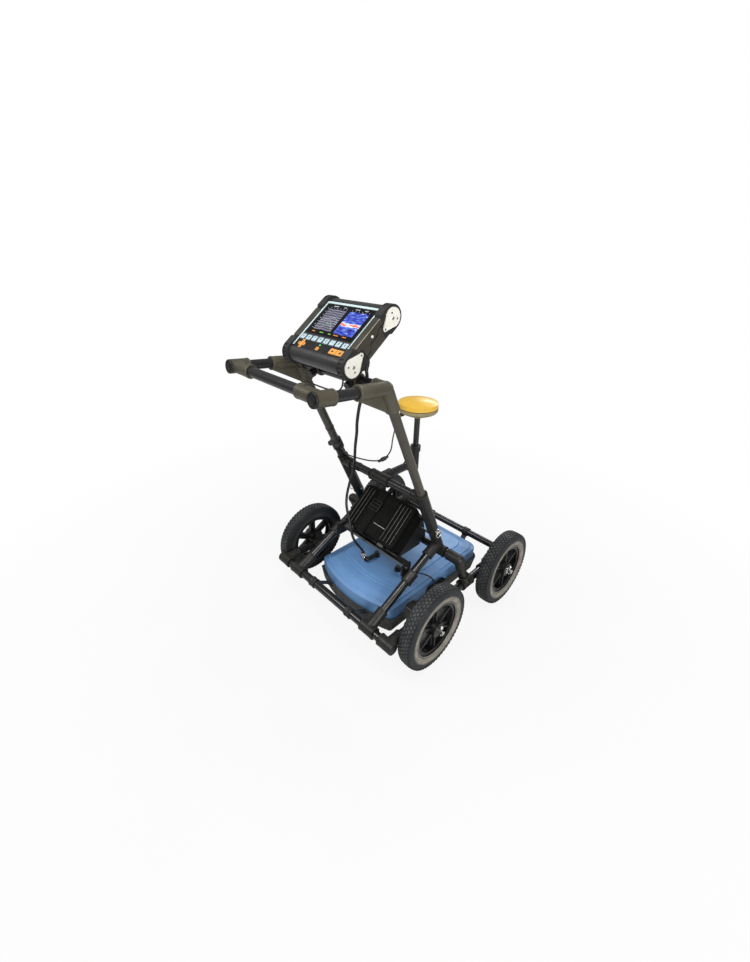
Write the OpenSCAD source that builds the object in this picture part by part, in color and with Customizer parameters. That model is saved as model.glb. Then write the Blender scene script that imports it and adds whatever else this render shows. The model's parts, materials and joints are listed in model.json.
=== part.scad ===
// Four-wheeled push cart that carries a ground penetrating radar antenna, its
// display console, a positioning receiver and a battery case.
// Millimetres. X is the operator's right, Y is forward, Z is up. The origin is
// on the ground under the middle of the cart.

/* [Wheels] */
// Outside diameter of a tyre
wheel_d = 305; // [280:1:320]
// Width of a tyre
tyre_w = 54; // [46:1:58]
// Diameter where the tyre sits on its rim
rim_d = 206; // [190:1:220]
// Length of a wheel hub along its axle
hub_w = 52; // [44:1:56]
// Diameter of a wheel hub
hub_d = 52; // [40:1:60]
// Number of spokes in a rim
spokes = 6; // [4:1:8]
// Width of one spoke
spoke_w = 26; // [16:1:32]
// Distance of a wheel's middle plane outside its side rail
wheel_out = 50; // [46:1:70]
// Distance between the front and rear axles
wheelbase = 443; // [420:1:460]
// Place of the rear axles along the cart
rear_axle_y = -114; // [-122:1:-102]
// Diameter of an axle
axle_d = 16; // [12:1:18]
// Length of axle past the wheel hub
axle_tail = 19; // [17:1:30]

/* [Tube frame] */
// Outside diameter of the frame tubes
tube_d = 30; // [28:0.5:32]
// Wall of the frame tubes
tube_wall = 2.5; // [1.5:0.5:4]
// Outside diameter of the moulded tube fittings
fit_d = 42; // [38:0.5:44]
// Gap from the antenna's side to the middle of a side rail
rail_gap = 92; // [88:1:93]
// Distance of the upper rails and legs from the cart's middle
leg_x = 200; // [190:1:210]
// Gap from the antenna's rear edge to the middle of the rear cross tube
rear_gap = 76; // [68:1:86]
// Gap from the antenna's front edge to the middle of the front cross tube
front_gap = 50; // [47:1:65]
// Place of the leg feet along the cart
foot_y = 83; // [78:1:88]
// Height of the leg feet
foot_z = 291; // [288:1:300]
// Backward lean of the legs, degrees
leg_lean = 24.8; // [23:0.2:26]
// Length of a leg from its foot to the handle elbow
leg_len = 764; // [740:1:780]
// Height up the leg where the upper rail joins it
rail_join = 42; // [40:1:46]
// Length of the thick neck at a leg's foot
neck_len = 116; // [110:1:120]
// Length of the leg sleeve above the neck
sleeve_len = 207; // [204:1:220]
// Height up the leg of the brace tube
brace_t = 296; // [284:1:298]
// Length of a handle arm
arm_len = 217; // [205:1:240]
// Upward slope of the handle arms, degrees
arm_rise = 4.8; // [2:0.2:6]

/* [Console] */
// Width of the console body
console_w = 228; // [220:1:236]
// Height of the flat face of the console
face_h = 188; // [184:1:194]
// Thickness of the console
console_t = 56; // [52:1:60]
// Width of one corner-guarded end cap
cap_w = 24; // [20:1:28]
// How far an end cap stands proud of the body
cap_proud = 7; // [4:0.5:9]
// Tilt of the console face from level, degrees
console_tilt = 38.8; // [34:0.2:44]
// Side of a soft key
softkey = 22; // [18:1:24]
// Distance between soft keys
softkey_pitch = 26.6; // [25:0.2:27]
// Height of the keys above the panel
key_rise = 1.6; // [1:0.1:2.4]

/* [Positioning receiver] */
// Diameter of the receiver disc
gps_d = 150; // [130:1:170]
// Reach of the receiver arm ahead of the brace
gps_reach = 188; // [170:1:200]
// Diameter of the receiver mast
mast_d = 22; // [18:1:24]
// Height of the mast above the arm
mast_rise = 198; // [190:1:230]

/* [Battery case] */
// Width of the battery case
case_w = 250; // [230:1:270]
// Length of the battery case up its slope
case_l = 176; // [160:1:190]
// Depth of the battery case
case_h = 74; // [70:1:84]
// Slope of the battery case, degrees
case_tilt = 41; // [39:0.5:43]

/* [Antenna] */
// Length of the antenna housing
antenna_l = 579; // [560:1:590]
// Width of the antenna housing
antenna_w = 396; // [370:1:410]
// Height of the housing's crown above the ground
antenna_top = 174; // [166:1:186]
// Ground clearance under the skid
skid_clear = 22; // [15:1:30]
// Bulge of the rear edge of the housing
rear_bulge = 42; // [30:1:60]
// Distance of the hanger straps from the cart's middle
hanger_x = 102; // [90:1:110]

/* [Hidden] */
$fn = 64;

// Clearances: a seated tube, a running shaft, and faces that slide past each other
seat = 0.05;
run = 0.05;
slip = 0.3;
eps = 1;

// Colours
black = [0.09, 0.09, 0.09];
fitting_grey = [0.15, 0.15, 0.14];
rubber = [0.07, 0.07, 0.075];
steel = [0.78, 0.78, 0.76];
antenna_blue = [0.42, 0.61, 0.83];
orange = [0.93, 0.52, 0.2];
pale_blue = [0.76, 0.89, 0.94];
cream = [0.91, 0.9, 0.84];

// Fitting reaches
corner_out = 21;
corner_in = 34;
corner_along = 58;
tee_half = 30;
axle_tee_half = 32;
rear_branch = 76;
foot_half = 28;
rail_socket = 64;
rail_stop = 24;
post_grip = 48;
fitting_gap = 1;
post_gap = 10;
axle_boss_d = 34;
axle_boss = fit_d / 2 + 2;
cap_t = 5;
knob_d = 30;
elbow_leg = 74;
elbow_arm = 104;
elbow_in = 42;
handle_in = 36;
handle_out = 21;
handle_branch = 84;

// Frame positions. The rails and cross tubes clear the antenna and the fittings beside them
antenna_rear = -206;
wheel_r = wheel_d / 2;
axle_z = wheel_r;
front_axle_y = rear_axle_y + wheelbase;
rail_x = max(antenna_w / 2 + rail_gap, leg_x + foot_half + post_grip + post_gap);
wheel_x = rail_x + wheel_out;
rear_y = antenna_rear - rear_gap;
front_y = max(
  antenna_rear + antenna_l + front_gap, front_axle_y + corner_along + axle_tee_half + fitting_gap
);
bore_d = tube_d + 2 * seat;
branch_d = fit_d - 2;
branch_seat = tube_d / 2 + 1;
ball_d = fit_d + 1;
elbow_seat = ball_d / 2;
right = [1, 0, 0];
ahead = [0, 1, 0];
up = [0, 0, 1];
leg_dir = [0, -sin(leg_lean), cos(leg_lean)];
arm_dir = [0, -cos(arm_rise), sin(arm_rise)];
foot = [leg_x, foot_y, foot_z];
elbow = foot + leg_len * leg_dir;
handle = elbow + arm_len * arm_dir;
rear_joint = [leg_x, rear_y, axle_z];
rail_top = foot + rail_join * leg_dir;
rail_dir = (rail_top - rear_joint) / norm(rail_top - rear_joint);
post_top = [rail_x, foot_y, foot_z];
post_len = (foot_z - axle_z) / cos(leg_lean);
post_foot = post_top - post_len * leg_dir;
post_seat = branch_seat / cos(leg_lean) + tube_d / 2 * tan(leg_lean);
spigot_len = neck_len + 118;
brace = foot + brace_t * leg_dir;
pin_t = neck_len + 16;
pin_d = 8;

// Axle stations outward from the cart's middle
hub_in = wheel_x - hub_w / 2;
hub_out = wheel_x + hub_w / 2;
axle_end = hub_out + axle_tail;
clip_x = hub_out + 9;
clip_d = 5;
washer_d = 30;
bolt_head_d = 28;
bolt_head_h = 8;

// Odometer
odo_w = 34;
odo_side = 54;
odo_x = rail_x - axle_boss - odo_w;

// Console
roll_r = console_t / 2;
console_set = [-9.5, 133.5];
top_at = [0, elbow[1], elbow[2]];
face_mid = top_at + [0, console_set[0], console_set[1]];
face_low = -face_h / 2 + 2;
face_high = face_h / 2 + 2;
bezel_t = 2;
pivot_d = 10;
pivot_drop = 20;
pivot_up = -50;
lug_w = 15;
cheek_w = 14;
cheek_x = 85;
lug_x = cheek_x - cheek_w / 2 - slip - lug_w;
clamp_w = 26;
clamp_stem = 4;
clamp_knob_d = 26;
clamp_knob_h = 16;
clamp_knob_dir = [0, -cos(20), -sin(20)];
pivot = console_point(pivot_up, -console_t - pivot_drop);
screen_w = 204;
screen_h = 116;
screen_mid = 24;
softkey_up = -51;
lower_key_up = -77;
arrow_x = -76;
arrow_span = 28;
arrow_w = 10;
key_travel = 0.8;
function_x = [66, 94];
function_key = [26, 18];
power_side = 11;
plate_r = 27;
plate_t = 3;
plate_reach = 42;
plate_turn = 6;
guard_len = 36;
guard_slope = 8;
seam_w = 1.6;
seam_depth = 1.2;
screw_d = 5;
bolt_d = 10;
screw_rise = 1.2;
console_glands = [[100, -20], [50, -66]];

// Receiver
mast_y = brace[1] + gps_reach;
arm_z = brace[2];
socket_d = 32;
arm_stop = 19;
socket_low = 28;
gps_tee_half = 44;
gps_tee_branch = 52;
socket_grip = 44;
socket_high = 74;
gps_z = arm_z + mast_rise;
gps_base_h = 34;
gps_dome_h = 30;

// Battery case
case_low = [0, -62, 289];
plate_gauge = 3;
case_wall = 3;
case_corner = 16;
lid_h = 26;
base_h = case_h - lid_h;
rest_rod_d = 10;
rest_rod_t = 84;
strap_x = -34;
strap_w = 38;
strap_t = 2;
strap_tail = 50;
flange = 4;
latch_t = 6;
latch_w = 30;
latch_in = [41, 53];
latch_x = [latch_in[0] - case_w / 2, case_w / 2 - latch_in[1]];
latch_drop = 14;
latch_hook = 4;
rib_w = 8;
rib_h = 2.5;
rib_pitch = 16;
rib_edge = 17;
rib_end = 8;
panel_x = [-8, 50];
panel_low = 70;
battery = [151, 96, 58];
gusset_x = 122;
gusset_t = 6;
shelf_y = -76;
shelf_z = 284;
shelf_w = 26;
shelf_drop = 12;
ear_x = leg_x - fit_d / 2 - 3;
ear_t = 8;
shelf_end = ear_x - ear_t / 2;
rest_rod = [0, foot[1], foot[2]] + rest_rod_t * leg_dir;
rest_rod_end = 8;

// Antenna
plug_x = -57;
plug_y = -70;
plug_d = 18;
plug_rise = 21;
nut_d = 20;
gland_x = [-33, 84];
gland_y = -16;
gland_reach = 14;
rear_r = (antenna_w * antenna_w / 4 + rear_bulge * rear_bulge) / (2 * rear_bulge);
crown_inset = 46;
skirt_top = 150;
skirt_low = 96;
ridge_y = 96;
ridge_step = 3;
ridge_tread = 14;
ledge_in = 14;
ledge_h = 8;
hold_y = [36, 193];
hold_top = 146;
antenna_wall = 5;
skid_flare = 7;
skid_rim = 104;
skid_tuck = 24;
hanger_w = 27;
hanger_t = 4;
hook_t = 3;
hook_drop = 16;

function case_point(u, v) = [
  case_low[1] + u * cos(case_tilt) - v * sin(case_tilt), case_low[2] + u * sin(case_tilt) + v * cos(case_tilt)
];
function console_point(u, n) = face_mid
  + u * [0, cos(console_tilt), sin(console_tilt)]
  + n * [0, -sin(console_tilt), cos(console_tilt)];

// Place children with +Z turned to a direction
module along(p, d) {
  translate(p) rotate([0, acos(d[2] / norm(d)), atan2(d[1], d[0])]) children();
}

module rod(p, d, len, dia) {
  along(p, d) cylinder(d = dia, h = len);
}

module pipe(p, q, dia = tube_d, wall = tube_wall) {
  len = norm(q - p);
  along(p, q - p) difference() {
    cylinder(d = dia, h = len);
    translate([0, 0, -eps]) cylinder(d = dia - 2 * wall, h = len + 2 * eps);
  }
}

module both_sides() {
  children();
  mirror([1, 0, 0]) children();
}

// Sleeve fitting: a run that a tube passes through, and bored branches [direction, length]
module fitting(c, run_dir, back, front, branches) {
  difference() {
    union() {
      rod(c - back * run_dir, run_dir, back + front, fit_d);
      for (b = branches) rod(c, b[0], b[1], branch_d);
    }
    rod(c - (back + eps) * run_dir, run_dir, back + front + 2 * eps, bore_d);
    for (b = branches) rod(c + branch_seat * b[0], b[0], b[1], bore_d);
  }
}

// Outline in the YZ plane, thick along X and centred at x
module side_plate(x, thick) {
  translate([x - thick / 2, 0, 0]) rotate([90, 0, 90]) linear_extrude(thick) children();
}

module rounded_rect(w, h, r) {
  square([w - 2 * r, h], center = true);
  square([w, h - 2 * r], center = true);
  for (x = [-1, 1], y = [-1, 1]) translate([x * (w / 2 - r), y * (h / 2 - r)]) circle(r);
}

// Closed tube swept along points
module cord(points, dia, sides = 8) {
  n = len(points);
  function tangent(i) = points[min(i + 1, n - 1)] - points[max(i - 1, 0)];
  function side_of(t) = let (s = cross(t, abs(t[2]) > 0.9 * norm(t) ? ahead : up)) s / norm(s);
  rings = [
    for (i = [0 : n - 1])
      let (t = tangent(i), s = side_of(t), v = cross(s, t) / norm(t))
      for (k = [0 : sides - 1]) points[i] + dia / 2 * (cos(360 * k / sides) * s + sin(360 * k / sides) * v)
  ];
  walls = [
    for (i = [0 : n - 2], k = [0 : sides - 1])
      let (a = i * sides + k, b = i * sides + (k + 1) % sides)
      each [[a, b, b + sides], [a, b + sides, a + sides]]
  ];
  caps = [[for (k = [sides - 1 : -1 : 0]) k], [for (k = [0 : sides - 1]) (n - 1) * sides + k]];
  polyhedron(rings, concat(walls, caps));
}

// Smooth curve through hand-chosen points, steps points for each stretch
function bend(p0, p1, p2, p3, t) = 0.5 * (2 * p1 + (p2 - p0) * t + (2 * p0 - 5 * p1 + 4 * p2 - p3) * t * t
  + (3 * p1 - p0 - 3 * p2 + p3) * t * t * t);
function smooth(p, steps) = let (n = len(p)) [
  for (i = [0 : n - 2], k = [0 : steps - 1])
    bend(p[max(i - 1, 0)], p[i], p[i + 1], p[min(i + 2, n - 1)], k / steps),
  p[n - 1]
];

// Base frame

module cross_tubes() {
  color(black) {
    for (y = [rear_y, front_y]) {
      pipe([-rail_x - corner_out + eps, y, axle_z], [rail_x + corner_out - eps, y, axle_z]);
    }
    pipe([-rail_x + branch_seat, foot_y, foot_z], [rail_x - branch_seat, foot_y, foot_z]);
  }
}

module rails() {
  color(black) both_sides() {
    difference() {
      pipe([rail_x, rear_y + branch_seat, axle_z], [rail_x, front_y - branch_seat, axle_z]);
      for (y = [rear_axle_y, front_axle_y]) {
        rod([rail_x - tube_d, y, axle_z], right, 2 * tube_d, axle_d + 2 * slip);
      }
    }
    pipe(rear_joint + branch_seat * rail_dir, rail_top - rail_stop * rail_dir);
  }
}

module corner_elbows() {
  color(fitting_grey) both_sides() {
    fitting([rail_x, rear_y, axle_z], right, corner_in, corner_out, [[ahead, corner_along]]);
    fitting([rail_x, front_y, axle_z], right, corner_in, corner_out, [[-ahead, corner_along]]);
  }
}

module rear_tees() {
  color(fitting_grey) both_sides()
    fitting(rear_joint, right, tee_half, tee_half, [[rail_dir, rear_branch]]);
}

module leg_feet() {
  color(fitting_grey) both_sides() difference() {
    union() {
      rod(foot - foot_half * right, right, 2 * foot_half, fit_d);
      rod(foot, leg_dir, neck_len, branch_d);
      rod(foot, leg_dir, spigot_len, tube_d);
      rod(rail_top, -rail_dir, rail_socket, fit_d - 1);
    }
    rod(foot - (foot_half + eps) * right, right, 2 * foot_half + 2 * eps, bore_d);
    rod(rail_top - rail_stop * rail_dir, -rail_dir, rail_socket, bore_d);
    rod(foot + pin_t * leg_dir - fit_d * right, right, 2 * fit_d, pin_d + 2 * run);
    rod(foot + rest_rod_t * leg_dir - fit_d * right, right, fit_d, rest_rod_d + 2 * seat);
  }
}

module side_posts() {
  color(fitting_grey) both_sides() difference() {
    union() {
      rod(post_top, -right, post_grip, fit_d);
      translate(post_top) sphere(d = ball_d);
      rod(post_top, -leg_dir, post_grip, branch_d);
      rod(post_top, -leg_dir, post_len - post_seat, tube_d);
    }
    rod(post_top - branch_seat * right, -right, post_grip, bore_d);
  }
}

module axle_tee(y) {
  c = [rail_x, y, axle_z];
  difference() {
    union() {
      rod(c - (tee_half + 2) * ahead, ahead, 2 * tee_half + 4, fit_d);
      rod(c - axle_boss * right, right, 2 * axle_boss, axle_boss_d);
      rod(c, up, axle_boss, axle_boss_d / 2);
    }
    rod(c - fit_d * ahead, ahead, 2 * fit_d, bore_d);
    rod(c - fit_d * right, right, 2 * fit_d, axle_d + 2 * run);
  }
}

module rail_tees() {
  color(fitting_grey) both_sides() {
    axle_tee(rear_axle_y);
    axle_tee(front_axle_y);
    fitting(post_foot, ahead, tee_half, tee_half, [[leg_dir, tee_half + 18]]);
  }
}

// Axle with its cross hole for the safety clip, reaching out from x
module axle(x, y) {
  difference() {
    rod([x, y, axle_z], right, axle_end - x, axle_d);
    rod([clip_x, y, axle_z - axle_d], up, 2 * axle_d, clip_d + 2 * seat);
  }
}

module bolted_axle(y) {
  head = rail_x - axle_boss;
  axle(head, y);
  translate([head - bolt_head_h, y, axle_z]) rotate([0, 90, 0])
    cylinder(d = bolt_head_d, h = bolt_head_h, $fn = 6);
}

module axles() {
  color(steel) {
    bolted_axle(front_axle_y);
    mirror([1, 0, 0]) bolted_axle(front_axle_y);
    mirror([1, 0, 0]) bolted_axle(rear_axle_y);
  }
}

// Clip pin through an axle end, with a round head above
module axle_clip(y) {
  rod([clip_x, y, axle_z - axle_d], up, 2 * axle_d + 4, clip_d);
  translate([clip_x, y, axle_z + axle_d + 4]) sphere(d = 13);
}

module odometer_axle() {
  color(steel) {
    axle(odo_x + 6, rear_axle_y);
    axle_clip(rear_axle_y);
  }
}

module odometer_housing() {
  c = [odo_x, rear_axle_y, axle_z];
  color(rubber) difference() {
    union() {
      translate(c) rotate([90, 0, 90]) linear_extrude(odo_w) rounded_rect(odo_side, odo_side, 8);
      rod(c - [8, 0, 0], right, 9, odo_side - 14);
      rod(c + [odo_w / 2, odo_side / 2 - eps, 0], ahead, 13, 16);
    }
    rod(c + [5, 0, 0], right, odo_w, axle_d + 2 * run);
  }
}

// Wheels, turned on X

module at_wheel(side, y) {
  translate([side * wheel_x, y, axle_z]) rotate([0, 90, 0]) children();
}

module tyre() {
  tread_w = tyre_w - 8;
  groove = 5;
  color(rubber) rotate_extrude($fn = 96) difference() {
    union() {
      translate([wheel_r - tyre_w / 2, 0]) circle(d = tyre_w);
      translate([wheel_r - 16, -tread_w / 2]) square([14, tread_w]);
    }
    translate([0, -tyre_w]) square([rim_d / 2 + seat, 2 * tyre_w]);
    for (s = [-1, 1]) translate([wheel_r - 4, s * tread_w / 5 - groove / 2]) square([8, groove]);
  }
}

module rim() {
  rim_r = rim_d / 2;
  bead_w = tyre_w - 18;
  color(black) difference() {
    union() {
      rotate_extrude($fn = 96) {
        translate([rim_r - 5, -bead_w / 2]) square([5, bead_w]);
        for (s = [-1, 1]) translate([rim_r - 16, s * (bead_w / 2 - 3) - 3]) square([16, 6]);
      }
      cylinder(d = hub_d, h = hub_w, center = true);
      linear_extrude(14, center = true) for (i = [0 : spokes - 1])
        rotate(i * 360 / spokes) translate([hub_d / 2 - 6, -spoke_w / 2])
          square([rim_r - hub_d / 2 + 2, spoke_w]);
      linear_extrude(28, center = true) for (i = [0 : spokes - 1])
        rotate(i * 360 / spokes) translate([hub_d / 2 - 6, -3]) square([rim_r - hub_d / 2 + 2, 6]);
    }
    cylinder(d = axle_d + 2 * run, h = hub_w + 2 * eps, center = true);
  }
}

// Legs and handle

module leg_sleeves() {
  color(fitting_grey) both_sides() difference() {
    union() {
      rod(foot + neck_len * leg_dir, leg_dir, sleeve_len, fit_d);
      rod(brace, -right, fit_d / 2 + 24, branch_d);
    }
    rod(foot + (neck_len - eps) * leg_dir, leg_dir, sleeve_len + 2 * eps, bore_d);
    rod(brace - branch_seat * right, -right, fit_d + 24, bore_d);
    rod(foot + pin_t * leg_dir - fit_d * right, right, 2 * fit_d, pin_d + 2 * run);
  }
}

module leg_tubes() {
  color(black) both_sides() pipe(foot + (spigot_len + 2) * leg_dir, elbow - elbow_seat * leg_dir);
}

module handle_elbows() {
  web = 9;
  web_arm = elbow + (elbow_arm - 4) * arm_dir - fit_d / 2 * [0, sin(arm_rise), cos(arm_rise)];
  web_leg = elbow - (elbow_leg - 4) * leg_dir - fit_d / 2 * [0, cos(leg_lean), sin(leg_lean)];
  arm_mouth = elbow + (elbow_arm - 2) * arm_dir;
  leg_mouth = elbow - (elbow_leg - 2) * leg_dir;
  color(fitting_grey) both_sides() difference() {
    union() {
      translate(elbow) sphere(d = ball_d);
      rod(elbow, -leg_dir, elbow_leg, fit_d);
      rod(elbow, arm_dir, elbow_arm, fit_d);
      rod(elbow, -right, elbow_in, branch_d);
      side_plate(leg_x, web) polygon([
        for (p = [elbow, arm_mouth, web_arm, web_leg, leg_mouth]) [p[1], p[2]]
      ]);
    }
    rod(elbow - elbow_seat * leg_dir, -leg_dir, elbow_leg, bore_d);
    rod(elbow + elbow_seat * arm_dir, arm_dir, elbow_arm, bore_d);
    rod(elbow - elbow_seat * right, -right, elbow_in, bore_d);
  }
}

module handle_tees() {
  color(fitting_grey) both_sides()
    fitting(handle, arm_dir, handle_in, handle_out, [[-right, handle_branch]]);
}

module handle_tubes() {
  bar = leg_x - branch_seat;
  top = leg_x - elbow_seat;
  color(black) {
    both_sides() pipe(elbow + elbow_seat * arm_dir, handle + (handle_out - eps) * arm_dir);
    for (c = [handle, brace]) pipe([-bar, c[1], c[2]], [bar, c[1], c[2]]);
    pipe([-top, elbow[1], elbow[2]], [top, elbow[1], elbow[2]]);
    pipe([0, brace[1] + branch_seat, arm_z], [0, mast_y - arm_stop, arm_z]);
  }
}

// Domed plug with a rim ring that closes an open fitting end at c, facing along d
module end_cap(c, d) {
  r = fit_d / 2 - 1.5;
  crown = 2.6 * fit_d;
  along(c, d) rotate_extrude() difference() {
    intersection() {
      square([r, cap_t + 2]);
      translate([0, cap_t + 1.5 - crown]) circle(crown, $fn = 256);
    }
    translate([r - 6, cap_t - 1]) square([2, 4]);
  }
}

// Hand knob with scalloped rim, from p along d
module hand_knob(p, d, dia, h) {
  along(p, d) difference() {
    cylinder(d = dia, h = h);
    for (i = [0 : 5]) rotate(i * 60) translate([dia / 2 + 2, 0, -eps]) cylinder(d = dia / 3, h = h + 2 * eps);
  }
}

module caps_and_knobs() {
  color(black) both_sides() {
    for (y = [rear_y, front_y]) end_cap([rail_x + corner_out, y, axle_z], right);
    end_cap(handle + handle_out * arm_dir, arm_dir);
    for (y = [rear_axle_y, front_axle_y]) hand_knob([rail_x, y, axle_z + axle_boss], up, knob_d, 22);
    hand_knob([cheek_x, elbow[1], elbow[2]] + (fit_d / 2 + clamp_stem) * clamp_knob_dir, clamp_knob_dir,
      clamp_knob_d, clamp_knob_h);
    hand_knob([cheek_x + cheek_w / 2, pivot[1], pivot[2]], right, knob_d, 18);
  }
}

// Washers, clip pins, console pivot pins, and the battery shelf with its bolts and rest rod
module steel_fittings() {
  axle_pairs = [[1, front_axle_y], [-1, front_axle_y], [-1, rear_axle_y], [1, rear_axle_y]];
  color(steel) {
    for (a = axle_pairs) mirror([a[0] < 0 ? 1 : 0, 0, 0]) {
      washer(rail_x + axle_boss, hub_in - slip, a[1]);
      if (a != [1, rear_axle_y]) {
        washer(hub_out + slip, hub_out + 3, a[1]);
        axle_clip(a[1]);
      }
    }
    both_sides() {
      rod([lug_x, pivot[1], pivot[2]], right, cheek_x + cheek_w / 2 - lug_x, pivot_d);
      rod([ear_x + ear_t / 2, shelf_y - 6, shelf_z - 2], right, 6, 13);
    }
    translate([-shelf_end, shelf_y, shelf_z - plate_gauge]) cube([2 * shelf_end, shelf_w, plate_gauge]);
    translate([-shelf_end, shelf_y - plate_gauge, shelf_z - shelf_drop])
      cube([2 * shelf_end, plate_gauge, shelf_drop]);
    rod(rest_rod - (leg_x - rest_rod_end) * right, right, 2 * (leg_x - rest_rod_end), rest_rod_d);
  }
}

module washer(from, to, y) {
  difference() {
    rod([from, y, axle_z], right, to - from, washer_d);
    rod([from - eps, y, axle_z], right, to - from + 2 * eps, axle_d + 2 * slip);
  }
}

module lock_pin(side) {
  c = foot + pin_t * leg_dir;
  out = leg_x + fit_d / 2;
  color(steel) mirror([side < 0 ? 1 : 0, 0, 0]) {
    rod([leg_x - fit_d / 2 - 4, c[1], c[2]], right, fit_d + 4 + eps, pin_d);
    rod([out, c[1], c[2]], right, 9, 18);
    translate([out + 9, c[1], c[2] - 11]) rotate([0, 90, 0]) rotate_extrude()
      translate([13, 0]) circle(d = 3.5);
    rod([out + 9 - eps, c[1], c[2]], right, 5, 8);
  }
}

// Positioning receiver

module gps_arm() {
  tee = [0, brace[1], arm_z];
  socket = [0, mast_y, arm_z];
  color(fitting_grey) {
    fitting(tee, right, gps_tee_half, gps_tee_half, [[ahead, gps_tee_branch]]);
    difference() {
      union() {
        rod(socket - socket_low * up, up, socket_low + socket_high, socket_d);
        rod(socket, -ahead, socket_grip, branch_d - 2);
        rod(socket + (socket_high - 22) * up, up, 22, socket_d + 8);
        translate(socket + [-6, -socket_d / 2 - 14, socket_high - 20]) cube([12, 16, 18]);
      }
      rod(socket - (socket_low + eps) * up, up, socket_low + socket_high + 2 * eps, mast_d + 2 * run);
      rod(socket - arm_stop * ahead, -ahead, socket_grip, bore_d);
    }
  }
}

module gps_mast() {
  low = arm_z - socket_low + 4;
  color(black) pipe([0, mast_y, low], [0, mast_y, gps_z + 10], mast_d, 2);
}

module gps_base() {
  r = gps_d / 2;
  color([0.55, 0.52, 0.42]) translate([0, mast_y, gps_z]) difference() {
    union() {
      rotate_extrude($fn = 96) polygon([
        [0, -6], [mast_d, -6], [mast_d + 3, 2], [r - 22, 8], [r - 5, 16], [r, 22],
        [r, gps_base_h], [0, gps_base_h]
      ]);
      rod([-r + 24, -10, 14], [-0.5, -0.2, -1], 34, 15);
    }
    translate([0, 0, -6 - eps]) cylinder(d = mast_d + 2 * seat, h = 16 + eps);
  }
}

module gps_dome() {
  r = gps_d / 2;
  edge = 15;
  crown = 3 * r;
  dome_foot = [0, mast_y, gps_z + gps_base_h];
  color([0.93, 0.68, 0.22]) translate(dome_foot) rotate_extrude($fn = 96) intersection() {
    union() {
      square([r - edge, gps_dome_h]);
      square([r, gps_dome_h - edge]);
      translate([r - edge, gps_dome_h - edge]) circle(edge);
    }
    translate([0, gps_dome_h - crown]) circle(crown, $fn = 256);
    square([r + eps, gps_dome_h + eps]);
  }
}

// Console, drawn flat with its face at Z = 0 and then tilted

module at_console() {
  translate(face_mid) rotate([console_tilt, 0, 0]) children();
}

// Section of the console grown by g: flat face between two rolled edges
module console_section(g) {
  translate([face_low, -roll_r - roll_r - g]) square([face_high - face_low, console_t + 2 * g]);
  for (y = [face_low, face_high]) translate([y, -roll_r]) circle(roll_r + g);
}

module console_body() {
  lug_r = 14;
  color([0.17, 0.17, 0.16]) at_console() difference() {
    union() {
      side_plate(0, console_w) console_section(0);
      both_sides() side_plate(lug_x + lug_w / 2, lug_w) {
        translate([pivot_up, -console_t - pivot_drop]) circle(lug_r);
        translate([pivot_up - lug_r, -console_t - pivot_drop]) square([2 * lug_r, pivot_drop + eps]);
      }
      for (g = console_glands) rod([g[0], g[1], -console_t - 12], up, 12 + eps, 16);
    }
    translate([-console_w / 2 - eps, face_low, -bezel_t]) cube([console_w + 2 * eps, face_h, bezel_t + eps]);
    both_sides()
      rod([lug_x - eps, pivot_up, -console_t - pivot_drop], right, lug_w + 2 * eps, pivot_d + 2 * run);
  }
}

// Seam line from point a to point b of the console's side, cut square
module seam_cut(a, b) {
  d = b - a;
  translate([console_w / 2 + cap_w - seam_depth, a[0], a[1]]) rotate([atan2(d[1], d[0]), 0, 0])
    translate([0, -seam_w / 2, -seam_w / 2]) cube([2 * seam_depth, norm(d) + seam_w, seam_w]);
}

// End caps that stand proud only at their ribbed corner guards, with a stepped seam along each side
module console_end_caps() {
  ribs = 9;
  seam = [
    [face_low + plate_r + 4, -console_t + 8], [-20, -console_t + 14], [-8, -roll_r + 2], [22, -roll_r + 2],
    [34, -roll_r + 12], [face_high - plate_r - 4, -roll_r + 12]
  ];
  x = console_w / 2 + cap_w / 2;
  low = face_low + guard_len;
  high = face_high - guard_len;
  tall = cap_proud + eps;
  color(rubber) at_console() both_sides() difference() {
    side_plate(x, cap_w) console_section(cap_proud);
    for (flip = [0, 1]) translate([0, 0, -roll_r]) mirror([0, 0, flip]) translate([0, 0, roll_r])
      side_plate(x, cap_w + 2 * eps) polygon([
        [low, 1], [high, 1], [high + guard_slope, tall], [low - guard_slope, tall]
      ]);
    for (i = [1 : len(seam) - 1]) seam_cut(seam[i - 1], seam[i]);
    for (y = [face_low, face_high], i = [0 : ribs - 1]) {
      a = (y == face_low ? 100 : -80) + i * 160 / (ribs - 1);
      translate([x, y, -roll_r]) rotate([a, 0, 0]) translate([0, roll_r + cap_proud + 1, 0])
        rotate([0, 90, 0]) cylinder(d = 7, h = cap_w - 8, center = true);
    }
  }
}

// Teardrop plate over one rolled corner, its tip up the side, held by a bolt and three screws
module console_side_plates() {
  tip_r = 7;
  waist = 0.6;
  lean = acos((plate_r - tip_r) / plate_reach);
  side = [cos(lean), sin(lean)];
  other = [cos(lean), -sin(lean)];
  tip = [plate_reach, 0];
  back = console_w / 2 + cap_w;
  heads = [[3, 0, bolt_d], [-4, -13, screw_d], [-8, 14, screw_d], [plate_reach, 0, screw_d]];
  color(cream) at_console() both_sides() for (end = [0, 1]) {
    translate([0, end ? face_high : face_low, -roll_r]) rotate([plate_turn + end * 180, 0, 0]) {
      side_plate(back + plate_t / 2, plate_t) {
        circle(plate_r);
        translate(tip) circle(tip_r);
        polygon([
          (plate_r - waist) * side, tip + (tip_r - waist) * side,
          tip + (tip_r - waist) * other, (plate_r - waist) * other
        ]);
      }
      for (h = heads) rod([back + eps, h[0], h[1]], right, plate_t - eps + screw_rise, h[2]);
    }
  }
}

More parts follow.
